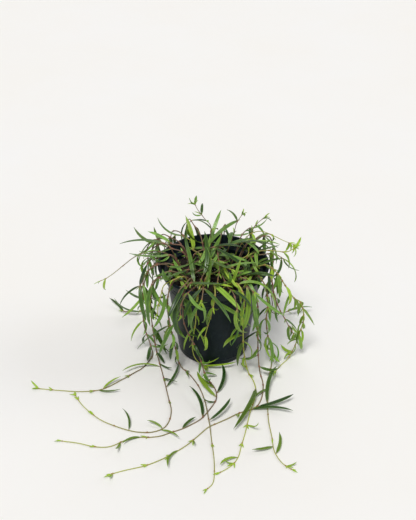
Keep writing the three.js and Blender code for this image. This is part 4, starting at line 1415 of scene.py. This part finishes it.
def small_leaf(base, way, about, spread, length, draw):
    level = square((1, 0, 0) if abs(way[2]) > UPRIGHT else UP, way)
    out = turn(level, way, about)
    along = unit(add(scale(way, math.cos(spread)), scale(out, math.sin(spread))))
    leaf = {
        "base": base, "along": along, "face": square(add(UP, scale(out, BUD_FACE_OUT)), along),
        "length": length, "width": BUD_WIDTH + BUD_WIDTH_PER_LENGTH * length,
        "droop": BUD_DROOP + BUD_DROOP_MORE * draw(), "sickle": 0,
    }
    if base[2] < LYING_BELOW and along[2] < LYING_RISE:
        leaf["along"] = unit((along[0], along[1], LYING_RISE))
        leaf["face"] = square(UP, leaf["along"])
        leaf["droop"] = LYING_DROOP
    return leaf


def tip_of(leaf):
    return add(leaf["base"], scale(leaf["along"], leaf["length"]))


def add_small_leaves(skin, points, run, knots, draw, youth):
    """Pairs of tiny leaves in some joints, and a tuft at the growing end."""
    for k, s in enumerate(knots + [run[-1]]):
        last = k == len(knots)
        if not last and draw() > BUD_CHANCE:
            continue
        here = min(s, run[-1] - LOOK_AHEAD)
        base = at_run(points, run, here)
        ahead = at_run(points, run, min(run[-1], here + LOOK_AHEAD))
        way = unit(tuple(ahead - base))
        base = tuple(let_down(base[None], BUD_STEM_RADIUS)[0])
        age = min(1, float(youth(s / run[-1])) + BUD_YOUNGER)
        start = draw() * 2 * math.pi
        for about in (start, start + math.pi):
            length = between(TIP_LEAF_LENGTH if last else BUD_LENGTH, draw())
            spread = math.radians((TIP_SPREAD if last else BUD_SPREAD) + BUD_SPREAD_MORE * draw())
            leaf = small_leaf(base, way, about, spread, length, draw)
            if clear_of_pot([tip_of(leaf)], BUD_ROOM):
                add_leaf(skin, leaf, (0, 0, 0), draw(), age, 0, BUD_KEEL)


print("length of a tiny leaf: from", BUD_LENGTH[0], "to", BUD_LENGTH[1], "mm")

# %% [markdown]
# ## Effects that several finishes share
#
# Mottling, a film of dust and fine relief turn up on the pot, the leaves, the stems and the peat.
# Each is built once as a node group with named inputs and outputs, and placed in every material
# with its own values. The patterns are procedural, in the object's own coordinates, so they stay
# put when the view moves.

# %% Small helpers for nodes
def srgb(code):
    """A hex colour as linear values."""
    parts = [int(code[i : i + 2], 16) / 255 for i in (1, 3, 5)]
    return tuple(c / 12.92 if c <= 0.04045 else ((c + 0.055) / 1.055) ** 2.4 for c in parts) + (1,)


def put(tree, kind, values=None, **settings):
    """A new node, with each input set to a value or linked to another node's output."""
    node = tree.nodes.new(kind)
    for name, value in settings.items():
        setattr(node, name, value)
    for name, value in (values or {}).items():
        socket = node.inputs[name]
        if isinstance(value, bpy.types.NodeSocket):
            tree.links.new(value, socket)
        else:
            socket.default_value = value
    return node


def computed(tree, operation, *values):
    return put(tree, "ShaderNodeMath", dict(enumerate(values)), operation=operation).outputs[0]


def sum_of(tree, a, b):
    return computed(tree, "ADD", a, b)


def product(tree, a, b):
    return computed(tree, "MULTIPLY", a, b)


def rest_of(tree, share):
    return computed(tree, "SUBTRACT", 1.0, share)


def blended(tree, share, first, second):
    node = put(tree, "ShaderNodeMix", {0: share, 6: first, 7: second}, data_type="RGBA")
    return node.outputs[2]


def tinted(tree, colour, mask, strength, code):
    """The colour with another one laid over it, up to a strength, where the mask is."""
    return blended(tree, product(tree, mask, strength), colour, srgb(code))


def stepped(tree, value, low, high):
    """A share that rises smoothly from none to all as the value goes from low to high."""
    node = put(tree, "ShaderNodeMapRange", {"Value": value, "From Min": low, "From Max": high},
               interpolation_type="SMOOTHSTEP")
    return node.outputs["Result"]


def spanned(tree, share, low, high):
    """A value that goes from low to high as the share goes from none to all."""
    node = put(tree, "ShaderNodeMapRange", {"Value": share, "To Min": low, "To Max": high})
    return node.outputs["Result"]


def mark(tree, name):
    return put(tree, "ShaderNodeAttribute", attribute_name=name).outputs["Fac"]


def new_group(name, inputs, outputs):
    """A new node group, what it is given and what it gives out."""
    tree = bpy.data.node_groups.new(name, "ShaderNodeTree")
    for label, start in inputs.items():
        socket = tree.interface.new_socket(label, in_out="INPUT", socket_type="NodeSocketFloat")
        socket.default_value = start
    for label in outputs:
        tree.interface.new_socket(label, in_out="OUTPUT", socket_type="NodeSocketFloat")
    outside = tree.nodes.new("NodeGroupInput").outputs
    return tree, outside, tree.nodes.new("NodeGroupOutput").inputs


def placed(tree, group, **values):
    """One use of a shared group, and what it gives out."""
    node = tree.nodes.new("ShaderNodeGroup")
    node.node_tree = group
    for name, value in values.items():
        node.inputs[name].default_value = value
    return node.outputs[0]


print("middle grey in linear values:", [round(c, 3) for c in srgb("#808080")])

# %% [markdown]
# Mottle is a cloudy mask between two limits, which can be stretched upright. The dust film lies in
# patches, most of all on what faces up. The fine relief is a soft wave with a finer grit in it, and
# serves as a height for bumps.

# %% The shared groups
DUST_PATCHES = (0.4, 0.72)
DUST_FACING_UP = (-0.1, 0.9)
DUST_ON_SIDES = 0.25
GRIT_FINER = 4.7


def noise_of(tree, place, waves, **settings):
    values = {"Vector": place, "Scale": waves}
    return put(tree, "ShaderNodeTexNoise", values | settings).outputs[0]


def make_mottle():
    defaults = {"Scale": 100, "Low": 0.35, "High": 0.65, "Upright": 1}
    tree, given, out = new_group("Mottle", defaults, ["Mask"])
    where = put(tree, "ShaderNodeTexCoord").outputs["Object"]
    stretch = put(tree, "ShaderNodeCombineXYZ", {"X": 1, "Y": 1, "Z": given["Upright"]}).outputs[0]
    spread = put(tree, "ShaderNodeVectorMath", {0: where, 1: stretch}, operation="MULTIPLY")
    noise = noise_of(tree, spread.outputs[0], given["Scale"], Detail=5, Roughness=0.6)
    limits = {"Value": noise, "From Min": given["Low"], "From Max": given["High"]}
    tree.links.new(put(tree, "ShaderNodeMapRange", limits).outputs["Result"], out["Mask"])
    return tree


def make_dust():
    tree, given, out = new_group("Dust film", {"Amount": 0.5, "Scale": 90}, ["Mask"])
    where = put(tree, "ShaderNodeTexCoord").outputs["Object"]
    normal = put(tree, "ShaderNodeNewGeometry").outputs["Normal"]
    facing = put(tree, "ShaderNodeSeparateXYZ", {0: normal})
    noise = noise_of(tree, where, given["Scale"], Detail=6, Roughness=0.7)
    patches = stepped(tree, noise, *DUST_PATCHES)
    upward = stepped(tree, facing.outputs["Z"], *DUST_FACING_UP)
    lying = product(tree, sum_of(tree, upward, DUST_ON_SIDES), patches)
    tree.links.new(product(tree, lying, given["Amount"]), out["Mask"])
    return tree


def make_relief():
    tree, given, out = new_group("Fine relief", {"Scale": 500, "Grit": 0.5}, ["Height"])
    where = put(tree, "ShaderNodeTexCoord").outputs["Object"]
    soft = noise_of(tree, where, given["Scale"], Detail=3)
    gritty = noise_of(tree, where, product(tree, given["Scale"], GRIT_FINER), Detail=2)
    height = sum_of(tree, soft, product(tree, gritty, given["Grit"]))
    tree.links.new(height, out["Height"])
    return tree


MOTTLE, DUST, RELIEF = make_mottle(), make_dust(), make_relief()
print("groups:", [g.name for g in bpy.data.node_groups])

# %% [markdown]
# ## The leaf's finish
#
# A leaf is a smooth waxy green with a soft gloss. Its groove is drawn as a thin dark line of
# painted shade, its edges are paler, and its underside is duller. Young leaves are yellow green.
# The uv map runs across and along each leaf, so the groove's painted shade and the long fine
# furrows follow it round every bend.

# %% Leaf material
# How far across the middle the groove's painted shade reaches, as shares of the uv.
GROOVE_SHADE_EDGE = (0.03, 0.1)
PALE_EDGE = (0.3, 0.5)
STALK_END = (0.02, 0.12)
FURROWS_ACROSS = 22
FURROWS_ALONG = 3
FURROW_CHANGE = 9


def new_material(name):
    """A new material, its node tree and its shader."""
    material = bpy.data.materials.new(name)
    material.use_nodes = True
    tree = material.node_tree
    return material, tree, tree.nodes["Principled BSDF"]


def finished(tree, shader, colour, rough, height, distance, strength):
    """Gives a shader its colour, its roughness and its bumps."""
    tree.links.new(colour, shader.inputs["Base Color"])
    tree.links.new(rough, shader.inputs["Roughness"])
    bump = {"Height": height, "Distance": distance, "Strength": strength}
    bumps = put(tree, "ShaderNodeBump", bump).outputs[0]
    tree.links.new(bumps, shader.inputs["Normal"])


def leaf_marks(tree, under):
    """Where a leaf's groove gets its painted shade, where its edges and its stalk are, and its uv.
    """
    uv = put(tree, "ShaderNodeUVMap", uv_map="lie").outputs[0]
    lie = put(tree, "ShaderNodeSeparateXYZ", {0: uv}).outputs
    across = computed(tree, "ABSOLUTE", computed(tree, "SUBTRACT", lie["X"], 0.5))
    # The middle band of the upper side, where the groove's shade is painted dark.
    middle = rest_of(tree, stepped(tree, across, *GROOVE_SHADE_EDGE))
    groove = product(tree, middle, rest_of(tree, under))
    stalk = rest_of(tree, stepped(tree, lie["Y"], *STALK_END))
    return groove, stepped(tree, across, *PALE_EDGE), stalk, lie


def leaf_furrows(tree, lie, tone):
    """Fine furrows along the leaf, different in each."""
    place = put(tree, "ShaderNodeCombineXYZ", {
        "X": product(tree, lie["X"], FURROWS_ACROSS),
        "Y": product(tree, lie["Y"], FURROWS_ALONG),
        "Z": product(tree, tone, FURROW_CHANGE),
    })
    return noise_of(tree, place.outputs[0], 1, Detail=2)


def leaf_finish():
    material, tree, shader = new_material("waxy_leaf")
    tone, youth, under = mark(tree, "tone"), mark(tree, "youth"), mark(tree, "under")
    groove, edge, stalk, lie = leaf_marks(tree, under)
    blotch = placed(tree, MOTTLE, Scale=160, Low=0.38, High=0.62)
    speck = placed(tree, MOTTLE, Scale=1400, Low=0.3, High=0.7)
    pale = computed(tree, "POWER", tone, 1.5)
    green = blended(tree, pale, srgb("#0f2a07"), srgb("#98cc54"))
    green = tinted(tree, green, blotch, 0.45, "#1f4a12")
    green = blended(tree, stepped(tree, youth, 0.1, 0.9), green, srgb("#aed032"))
    green = tinted(tree, green, speck, 0.12, "#5f9236")
    # Painted shade: the groove is darkened as if it lay in shadow.
    green = tinted(tree, green, groove, 0.4, "#1c3a17")
    green = tinted(tree, green, edge, 0.4, "#86ad40")
    green = tinted(tree, green, under, 0.35, "#57882c")
    green = tinted(tree, green, stalk, 0.6, "#a98a62")
    dust = placed(tree, DUST, Amount=0.03, Scale=220)
    green = blended(tree, dust, green, srgb("#a9b39a"))
    rough = sum_of(tree, spanned(tree, blotch, 0.24, 0.42), product(tree, under, 0.14))
    relief = product(tree, placed(tree, RELIEF, Scale=900, Grit=0.4), 0.5)
    height = sum_of(tree, leaf_furrows(tree, lie, tone), relief)
    finished(tree, shader, green, rough, height, 0.0002, 0.55)
    shader.inputs["Coat Weight"].default_value = 0.08
    shader.inputs["Coat Roughness"].default_value = 0.2
    shader.inputs["Specular IOR Level"].default_value = 0.42
    return material


LEAF_FINISH = leaf_finish()
print("nodes in the leaf's finish:", len(LEAF_FINISH.node_tree.nodes))

# %% [markdown]
# A stem is pinkish brown bark in patches, olive on some vines and yellow green where it is young,
# with dark flecks along it and a redder ring at each joint.

# %% Stem material
def stem_finish():
    material, tree, shader = new_material("wiry_stem")
    tone, youth, knot = mark(tree, "tone"), mark(tree, "youth"), mark(tree, "knot")
    patch = placed(tree, MOTTLE, Scale=130, Low=0.35, High=0.65)
    speck = placed(tree, MOTTLE, Scale=2200, Low=0.3, High=0.7, Upright=0.3)
    bark = blended(tree, patch, srgb("#5e463a"), srgb("#8f6d58"))
    bark = tinted(tree, bark, tone, 0.6, "#8b8358")
    bark = blended(tree, stepped(tree, youth, 0.15, 0.8), bark, srgb("#bdc552"))
    bark = tinted(tree, bark, speck, 0.3, "#46352c")
    bark = tinted(tree, bark, knot, 0.65, "#9a5442")
    relief = placed(tree, RELIEF, Scale=1300, Grit=0.6)
    finished(tree, shader, bark, spanned(tree, patch, 0.45, 0.68), relief, 0.00015, 0.6)
    return material


STEM_FINISH = stem_finish()
print("nodes in the stem's finish:", len(STEM_FINISH.node_tree.nodes))

# %% [markdown]
# ## Dress every vine
#
# Now the plain vines are replaced one by one. A leaf's root is moved from the plain stem line to
# the smooth one, by a millimetre at most, and the move fades out towards its tip.

# %% Make the fine vines
TONE_SEED = 71
TONE_SEED_STEP = 31
TWIST = 52
OLD_LEAF = 34
OLDER_WHEN_LONG = 0.6
YELLOWED_FROM = 0.72
YELLOWED_MORE = 0.5
YOUTH_SWAY = 0.12


def leaf_youth(stem_youth, length, draw):
    """A long leaf is older than its place on the stem, and a few leaves are yellowed."""
    own = stem_youth * (1 - OLDER_WHEN_LONG * min(1, length / OLD_LEAF) ** 2)
    own += YELLOWED_MORE * max(0, draw() - YELLOWED_FROM) / (1 - YELLOWED_FROM)
    own += YOUTH_SWAY * (draw() - 0.5)
    return min(1, max(0, own))


def add_leaf_of(skin, vine, leaf, points, run, youth, draw):
    s = nearest_run(points, run, np.array(leaf["base"]))
    share = s / run[-1]
    on_stem = let_down(at_run(points, run, s)[None], stem_radius(vine, share))[0]
    shift = sub(tuple(on_stem), leaf["base"])
    own = leaf_youth(float(youth(share)), leaf["length"], draw)
    add_leaf(skin, leaf, shift, draw(), own, TWIST * (draw() - 0.5))


for number, vine in enumerate(vines):
    draw = draws(TONE_SEED + TONE_SEED_STEP * number)
    youth = youth_curve(age_of(vine, draw))
    skin = new_skin()
    points, run, knots = add_stem(skin, vine, draw(), youth)
    for leaf in vine["leaves"]:
        add_leaf_of(skin, vine, leaf, points, run, youth, draw)
    add_small_leaves(skin, points, run, knots, draw, youth)
    piece = finish_skin(skin, "fine_" + vine["name"], [STEM_FINISH, LEAF_FINISH])
    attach(piece, "root")
    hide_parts(vine["name"])
fine = [mesh for mesh in bpy.data.meshes if mesh.name.startswith("fine_")]
print("fine vines:", len(vines), "faces:", sum(len(mesh.polygons) for mesh in fine))

# %% [markdown]
# ## The pot
#
# A nursery pot is moulded in one thin shell of black plastic: a straight taper, a shoulder where
# pots nest, a flared band above it, and a rolled lip. Its profile is turned about the axis. A
# screw modifier could turn it, but lofting the profile here lets every corner be rounded by its
# own radius first. Two faint rings run round below the shoulder and one above the foot, where the
# mould's parts met.

# %% Pot profile
CORNER_STEPS = 4
RIDGE = 0.22
WALL_ROUNDING = 0.3
LONGEST_ROUNDING = 0.45


def rounded(corners):
    """Replaces each (radius, height, rounding) corner by a short arc."""
    line = []
    for i, (r, z, rounding) in enumerate(corners):
        if rounding == 0 or i in (0, len(corners) - 1):
            line.append((r, z))
            continue
        here = np.array((r, z), float)
        back = np.array(corners[i - 1][:2]) - here
        on = np.array(corners[i + 1][:2]) - here
        shorter = min(np.linalg.norm(back), np.linalg.norm(on))
        reach = min(rounding, LONGEST_ROUNDING * shorter)
        a, b = (here + reach * side / np.linalg.norm(side) for side in (back, on))
        for t in np.linspace(0, 1, CORNER_STEPS + 1):
            line.append(tuple((1 - t) ** 2 * a + 2 * t * (1 - t) * here + t * t * b))
    return line


def wall_at(z, proud=0.0):
    return (float(radius_at(POT_OUTSIDE, z)) + proud, z, WALL_ROUNDING)


pot_corners = [
    (0, 0, 0),
    (BASE_RADIUS - 1.2, 0, 0.4),
    (BASE_RADIUS + 0.15, 1.2, 0.8),
    wall_at(6), wall_at(6.4, RIDGE), wall_at(7.2, RIDGE), wall_at(7.6),
    wall_at(40), wall_at(70),
    wall_at(86), wall_at(86.5, RIDGE), wall_at(87.2, RIDGE), wall_at(87.7),
    wall_at(91), wall_at(91.5, RIDGE), wall_at(92.2, RIDGE), wall_at(92.7),
    (SHOULDER_RADIUS, SHOULDER_HEIGHT, 0.8),
    (SHOULDER_RADIUS + 4, SHOULDER_HEIGHT + 1, 0.7),
    (RIM_RADIUS - 1.6, POT_HEIGHT - 3, 0.5),
    (RIM_RADIUS, POT_HEIGHT - 2, 0.5),
    (RIM_RADIUS, POT_HEIGHT - 0.8, 0.5),
    (RIM_RADIUS - 0.8, POT_HEIGHT, 0.6),
    (RIM_RADIUS - 2.6, POT_HEIGHT, 0.6),
    (RIM_RADIUS - 3.2, POT_HEIGHT - 1.2, 0.6),
    (SHOULDER_RADIUS + 2.5, SHOULDER_HEIGHT + 2.2, 0.7),
    (SHOULDER_RADIUS - WALL, SHOULDER_HEIGHT + 1, 0.8),
    (BASE_RADIUS - WALL, BASE_THICKNESS, 0.9),
    (0, BASE_THICKNESS, 0),
]
pot_line = rounded(pot_corners)
print("profile points:", len(pot_line))

# %% [markdown]
# The profile's first and last points lie on the axis, so they become one point each, with a fan of
# triangles round it. The drain holes are cut with one Boolean of six cylinders, which is applied
# at once, so that the mesh is whatever it looks like.

# %% Turn the pot and cut its drain holes
POT_TURNS = 168
DRAIN_RADIUS = 4
DRAIN_RING_RADIUS = 26
DRAIN_COUNT = 6
FIRST_DRAIN = 0.3
DRAIN_SIDES = 40
DRILL_DEPTH = 4
SHARP_EDGE = 32


def turned(name, line, turns):
    """The object that a line of (radius, height) points makes when it is turned about the axis."""
    body = bmesh.new()
    rows = []
    for r, z in line:
        if r < TINY:
            rows.append([body.verts.new((0, 0, z * MM))])
            continue
        angles = [2 * math.pi * k / turns for k in range(turns)]
        ring = [(r * math.cos(a) * MM, r * math.sin(a) * MM, z * MM) for a in angles]
        rows.append([body.verts.new(place) for place in ring])
    for low, high in zip(rows, rows[1:]):
        for k in range(turns):
            m = (k + 1) % turns
            if len(low) == 1:
                body.faces.new((low[0], high[m], high[k]))
            elif len(high) == 1:
                body.faces.new((low[k], low[m], high[0]))
            else:
                body.faces.new((low[k], low[m], high[m], high[k]))
    bmesh.ops.recalc_face_normals(body, faces=body.faces)
    return object_of(name, body)


def cut_by(piece, cutter):
    tool = piece.modifiers.new("cut", "BOOLEAN")
    tool.operation = "DIFFERENCE"
    tool.solver = "EXACT"
    tool.object = cutter
    bpy.context.view_layer.update()
    settled = piece.evaluated_get(bpy.context.evaluated_depsgraph_get())
    whole = bpy.data.meshes.new_from_object(settled)
    piece.modifiers.clear()
    piece.data = whole
    bpy.data.objects.remove(cutter)


pot = turned("moulded_pot", pot_line, POT_TURNS)
drill = bmesh.new()
for i in range(DRAIN_COUNT):
    angle = i * 2 * math.pi / DRAIN_COUNT + FIRST_DRAIN
    x, y = DRAIN_RING_RADIUS * math.cos(angle), DRAIN_RING_RADIUS * math.sin(angle)
    made = bmesh.ops.create_cone(
        drill, cap_ends=True, segments=DRAIN_SIDES, radius1=DRAIN_RADIUS * MM,
        radius2=DRAIN_RADIUS * MM, depth=DRILL_DEPTH * BASE_THICKNESS * MM,
    )
    bmesh.ops.translate(drill, verts=made["verts"], vec=(x * MM, y * MM, 0))
cut_by(pot, object_of("drain_drill", drill))
shade_smooth(pot.data)
pot.data.set_sharp_from_angle(angle=math.radians(SHARP_EDGE))
pot.data.update()
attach(pot, "root")
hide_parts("pot")
print("pot faces:", len(pot.data.polygons))

# %% [markdown]
# The plastic is near black with a cold cast, a little uneven in gloss where hands and water have
# been. Dust lies on the lip and the shoulder, and faint pale streaks run down the wall, inside and
# out, where water has dried.

# %% Pot material
def pot_finish():
    material, tree, shader = new_material("black_moulded_plastic")
    cloud = placed(tree, MOTTLE, Scale=34, Low=0.35, High=0.65)
    fleck = placed(tree, MOTTLE, Scale=700, Low=0.45, High=0.72)
    streak = placed(tree, MOTTLE, Scale=230, Low=0.56, High=0.74, Upright=0.12)
    dust = placed(tree, DUST, Amount=0.14, Scale=120)
    black = blended(tree, cloud, srgb("#01080d"), srgb("#04121a"))
    black = tinted(tree, black, fleck, 0.2, "#1c2a33")
    black = tinted(tree, black, streak, 0.14, "#48565f")
    black = blended(tree, dust, black, srgb("#5f696f"))
    dull = sum_of(tree, product(tree, dust, 0.5), product(tree, streak, 0.12))
    rough = sum_of(tree, spanned(tree, cloud, 0.3, 0.44), dull)
    finished(tree, shader, black, rough, placed(tree, RELIEF, Scale=1100, Grit=0.5), 0.0001, 0.35)
    shader.inputs["Specular IOR Level"].default_value = 0.22
    shader.inputs["Specular Tint"].default_value = (0.76, 0.96, 1, 1)
    return material


pot.data.materials.clear()
pot.data.materials.append(pot_finish())
print("pot finish:", pot.data.materials[0].name)

# %% [markdown]
# ## The peat
#
# Potting peat is a dark crumbly mass of fibres, with grains of white perlite. Its plain solid is a
# lumpy plug. The fine one keeps the plug's sides and its low mound, and adds clods, crumbs and
# grit. Loose crumbs, bark chips and perlite grains lie on top, made from one small round form that
# is squeezed and dented in a new way for each.

# %% Peat body
PEAT_TURNS = 180
PEAT_RINGS = 54
RINGS_OUTWARD = 0.9
PEAT_GAP = 0.2
SOIL_GAP = 0.35
PEAT_SHOULDER = 89
SHOULDER_TUCK = 0.3
LUMP_SHARE = 0.75
WAVE_X, WARP_X_BY_Y, X_WARP = 0.31, 0.17, 2
WAVE_Y, WARP_Y_BY_X, Y_WARP = 0.37, 0.13, 1.3
PEAT_LUMPS = (
    {"kind": "clods", "waves": 0.22, "layer": 3.1, "height": 0.9},
    {"kind": "crumbs", "waves": 0.7, "layer": 8.4, "height": 0.55},
    {"kind": "grit", "waves": 1.9, "layer": 5.2, "height": 0.2},
)


def lump_at(x, y):
    """The same broad lumps as the plain plug has."""
    wave = math.sin(x * WAVE_X + X_WARP * math.sin(y * WARP_X_BY_Y))
    return wave * math.cos(y * WAVE_Y - Y_WARP * math.sin(x * WARP_Y_BY_X))


def peat_top(x, y):
    """The height of the peat's surface, in millimetres."""
    top = float(soil_height(math.hypot(x, y))) + LUMP_SHARE * SOIL_LUMP * lump_at(x, y)
    for lumps in PEAT_LUMPS:
        place = Vector((x * lumps["waves"], y * lumps["waves"], lumps["layer"]))
        top += lumps["height"] * noise.noise(place)
    return top


def peat_ring(radius, height):
    """A ring of points, at one height or at the height that a function gives."""
    ring = []
    for angle in np.arange(PEAT_TURNS) * 2 * math.pi / PEAT_TURNS:
        x, y = radius * math.cos(angle), radius * math.sin(angle)
        ring.append((x, y, height(x, y) if callable(height) else height))
    return ring


peat_foot = BASE_THICKNESS + SOIL_GAP
peat_edge = float(radius_at(POT_INSIDE, SOIL_EDGE_HEIGHT)) - PEAT_GAP
peat_rows = [
    [(0, 0, peat_foot)],
    peat_ring(float(radius_at(POT_INSIDE, peat_foot)) - SOIL_GAP, peat_foot),
    peat_ring(peat_edge - SHOULDER_TUCK, PEAT_SHOULDER),
]
for share in np.linspace(1, 0, PEAT_RINGS, endpoint=False) ** RINGS_OUTWARD:
    peat_rows.append(peat_ring(peat_edge * share, peat_top))
peat_rows.append([(0, 0, peat_top(0, 0))])
print("rows of peat points:", len(peat_rows))

# %% [markdown]
# The rows are joined by faces of four corners, and of three where a row is a single point in the
# middle.

# %% Peat mesh
peat_body = bmesh.new()
peat_verts = [[peat_body.verts.new(Vector(p) * MM) for p in row] for row in peat_rows]
for low, high in zip(peat_verts, peat_verts[1:]):
    for k in range(PEAT_TURNS):
        m = (k + 1) % PEAT_TURNS
        ring = [low[k % len(low)], low[m % len(low)], high[m % len(high)], high[k % len(high)]]
        peat_body.faces.new(list(dict.fromkeys(ring)))
bmesh.ops.recalc_face_normals(peat_body, faces=peat_body.faces)
peat = object_of("peat", peat_body)
shade_smooth(peat.data)
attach(peat, "root")
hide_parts("soil")
print("peat faces:", len(peat.data.polygons))

# %% [markdown]
# A grain starts as a ball. It is squeezed, dented by a few waves, turned and leant, and then set a
# little into the peat wherever the draws put it.

# %% Crumbs and perlite
CRUMB_REACH = 48.2
EDGE_ROOM = 0.2
DENT = 0.22
DENT_WAVES = 3
DENT_PHASE = 6
GRAIN_LEAN = 1.6


def pebble():
    ball = bmesh.new()
    bmesh.ops.create_icosphere(ball, subdivisions=2, radius=1)
    points = np.array([v.co[:] for v in ball.verts])
    faces = [[v.index for v in f.verts] for f in ball.faces]
    ball.free()
    return points, faces


PEBBLE, PEBBLE_FACES = pebble()


def grain_points(radius, squeeze, draw):
    """The ball's points, squeezed, dented and turned in a new way."""
    shape = [1 - squeeze * draw() for _ in range(3)]
    dents = np.array([[draw() - 0.5 for _ in range(3)] for _ in range(3)]) * DENT_WAVES
    phases = np.array([draw(), draw(), draw()]) * DENT_PHASE
    bend = np.sin(PEBBLE @ dents.T + phases).sum(axis=1)
    grain = PEBBLE * (1 + DENT * bend)[:, None] * shape * radius
    about = 2 * math.pi * draw()
    lean = (draw() - 0.5) * GRAIN_LEAN
    cos, sin = math.cos(about), math.sin(about)
    spin = np.array([[cos, -sin, 0], [sin, cos, 0], [0, 0, 1]])
    cos, sin = math.cos(lean), math.sin(lean)
    tip = np.array([[1, 0, 0], [0, cos, -sin], [0, sin, cos]])
    return grain @ (spin @ tip).T


def scatter(name, count, sizes, squeeze, seed, sunk, material):
    """Strews grains over the peat, all in one mesh."""
    draw = draws(seed)
    points, faces, tones = [], [], []
    for _ in range(count):
        radius = between(sizes, draw() ** 2)
        out, way = CRUMB_REACH * math.sqrt(draw()), 2 * math.pi * draw()
        x, y = out * math.cos(way), out * math.sin(way)
        if out + radius > peat_edge - EDGE_ROOM:
            continue
        grain = grain_points(radius, squeeze, draw)
        first = len(points) * len(PEBBLE)
        faces += [[first + k for k in face] for face in PEBBLE_FACES]
        points.append(grain + (x, y, peat_top(x, y) + radius * sunk))
        tones += [draw()] * len(PEBBLE)
    mesh = bpy.data.meshes.new(name)
    mesh.from_pydata((np.concatenate(points) * MM).tolist(), [], faces)
    shade_smooth(mesh)
    mesh.attributes.new("tone", "FLOAT", "POINT").data.foreach_set("value", tones)
    mesh.materials.append(material)
    piece = link(bpy.data.objects.new(name, mesh))
    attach(piece, "root")
    print(name, "grains:", len(points))


print("points in a grain:", len(PEBBLE))

# %% [markdown]
# Peat is matt and broken up in brown and near black. Perlite is a chalky white foam, dirty where
# it has lain in the peat.

# %% Peat and perlite materials
CRUMB_SEED = 4409


def peat_finish():
    material, tree, shader = new_material("crumbly_peat")
    clump = placed(tree, MOTTLE, Scale=190, Low=0.35, High=0.65)
    fibre = placed(tree, MOTTLE, Scale=900, Low=0.4, High=0.66, Upright=2.5)
    brown = blended(tree, clump, srgb("#0b0806"), srgb("#221812"))
    brown = tinted(tree, brown, fibre, 0.5, "#3d2d20")
    brown = tinted(tree, brown, mark(tree, "tone"), 0.35, "#4a3828")
    rough = spanned(tree, clump, 0.82, 0.97)
    finished(tree, shader, brown, rough, placed(tree, RELIEF, Scale=620, Grit=0.8), 0.0008, 1.0)
    return material


def perlite_finish():
    material, tree, shader = new_material("chalky_perlite")
    dirt = placed(tree, MOTTLE, Scale=420, Low=0.42, High=0.66)
    white = blended(tree, mark(tree, "tone"), srgb("#cfc9bd"), srgb("#efece4"))
    white = tinted(tree, white, dirt, 0.45, "#7d6c58")
    rough = spanned(tree, dirt, 0.75, 0.95)
    finished(tree, shader, white, rough, placed(tree, RELIEF, Scale=1500, Grit=0.7), 0.0003, 0.8)
    return material


PEAT_FINISH = peat_finish()
peat.data.materials.append(PEAT_FINISH)
scatter("peat_crumbs", count=520, sizes=(0.45, 1.7), squeeze=0.5, seed=CRUMB_SEED, sunk=0.15,
        material=PEAT_FINISH)
scatter("bark_chips", count=60, sizes=(1.2, 2.8), squeeze=0.75, seed=CRUMB_SEED + 7, sunk=0.1,
        material=PEAT_FINISH)
scatter("perlite_grains", count=110, sizes=(0.4, 1.2), squeeze=0.35, seed=CRUMB_SEED + 13, sunk=0.2,
        material=perlite_finish())
print("peat finish:", PEAT_FINISH.name)

# %% [markdown]
# ## The sheet it stands on
#
# The floor is a sheet of matt paper. It has the faintest cloud in its white, so that it doesn't
# look like a cut-out.

# %% Floor material
PAPER_WHITE = (0.905, 0.903, 0.9, 1)
PAPER_CLOUD = (0.9, 0.885, 0.86, 1)


def paper_finish():
    material, tree, shader = new_material("pale_paper")
    cloud = placed(tree, MOTTLE, Scale=3, Low=0.3, High=0.7)
    white = blended(tree, cloud, PAPER_WHITE, PAPER_CLOUD)
    tree.links.new(white, shader.inputs["Base Color"])
    tree.links.new(spanned(tree, cloud, 0.8, 0.9), shader.inputs["Roughness"])
    return material


floor.data.materials.append(paper_finish())
print("floor finish:", floor.data.materials[0].name)
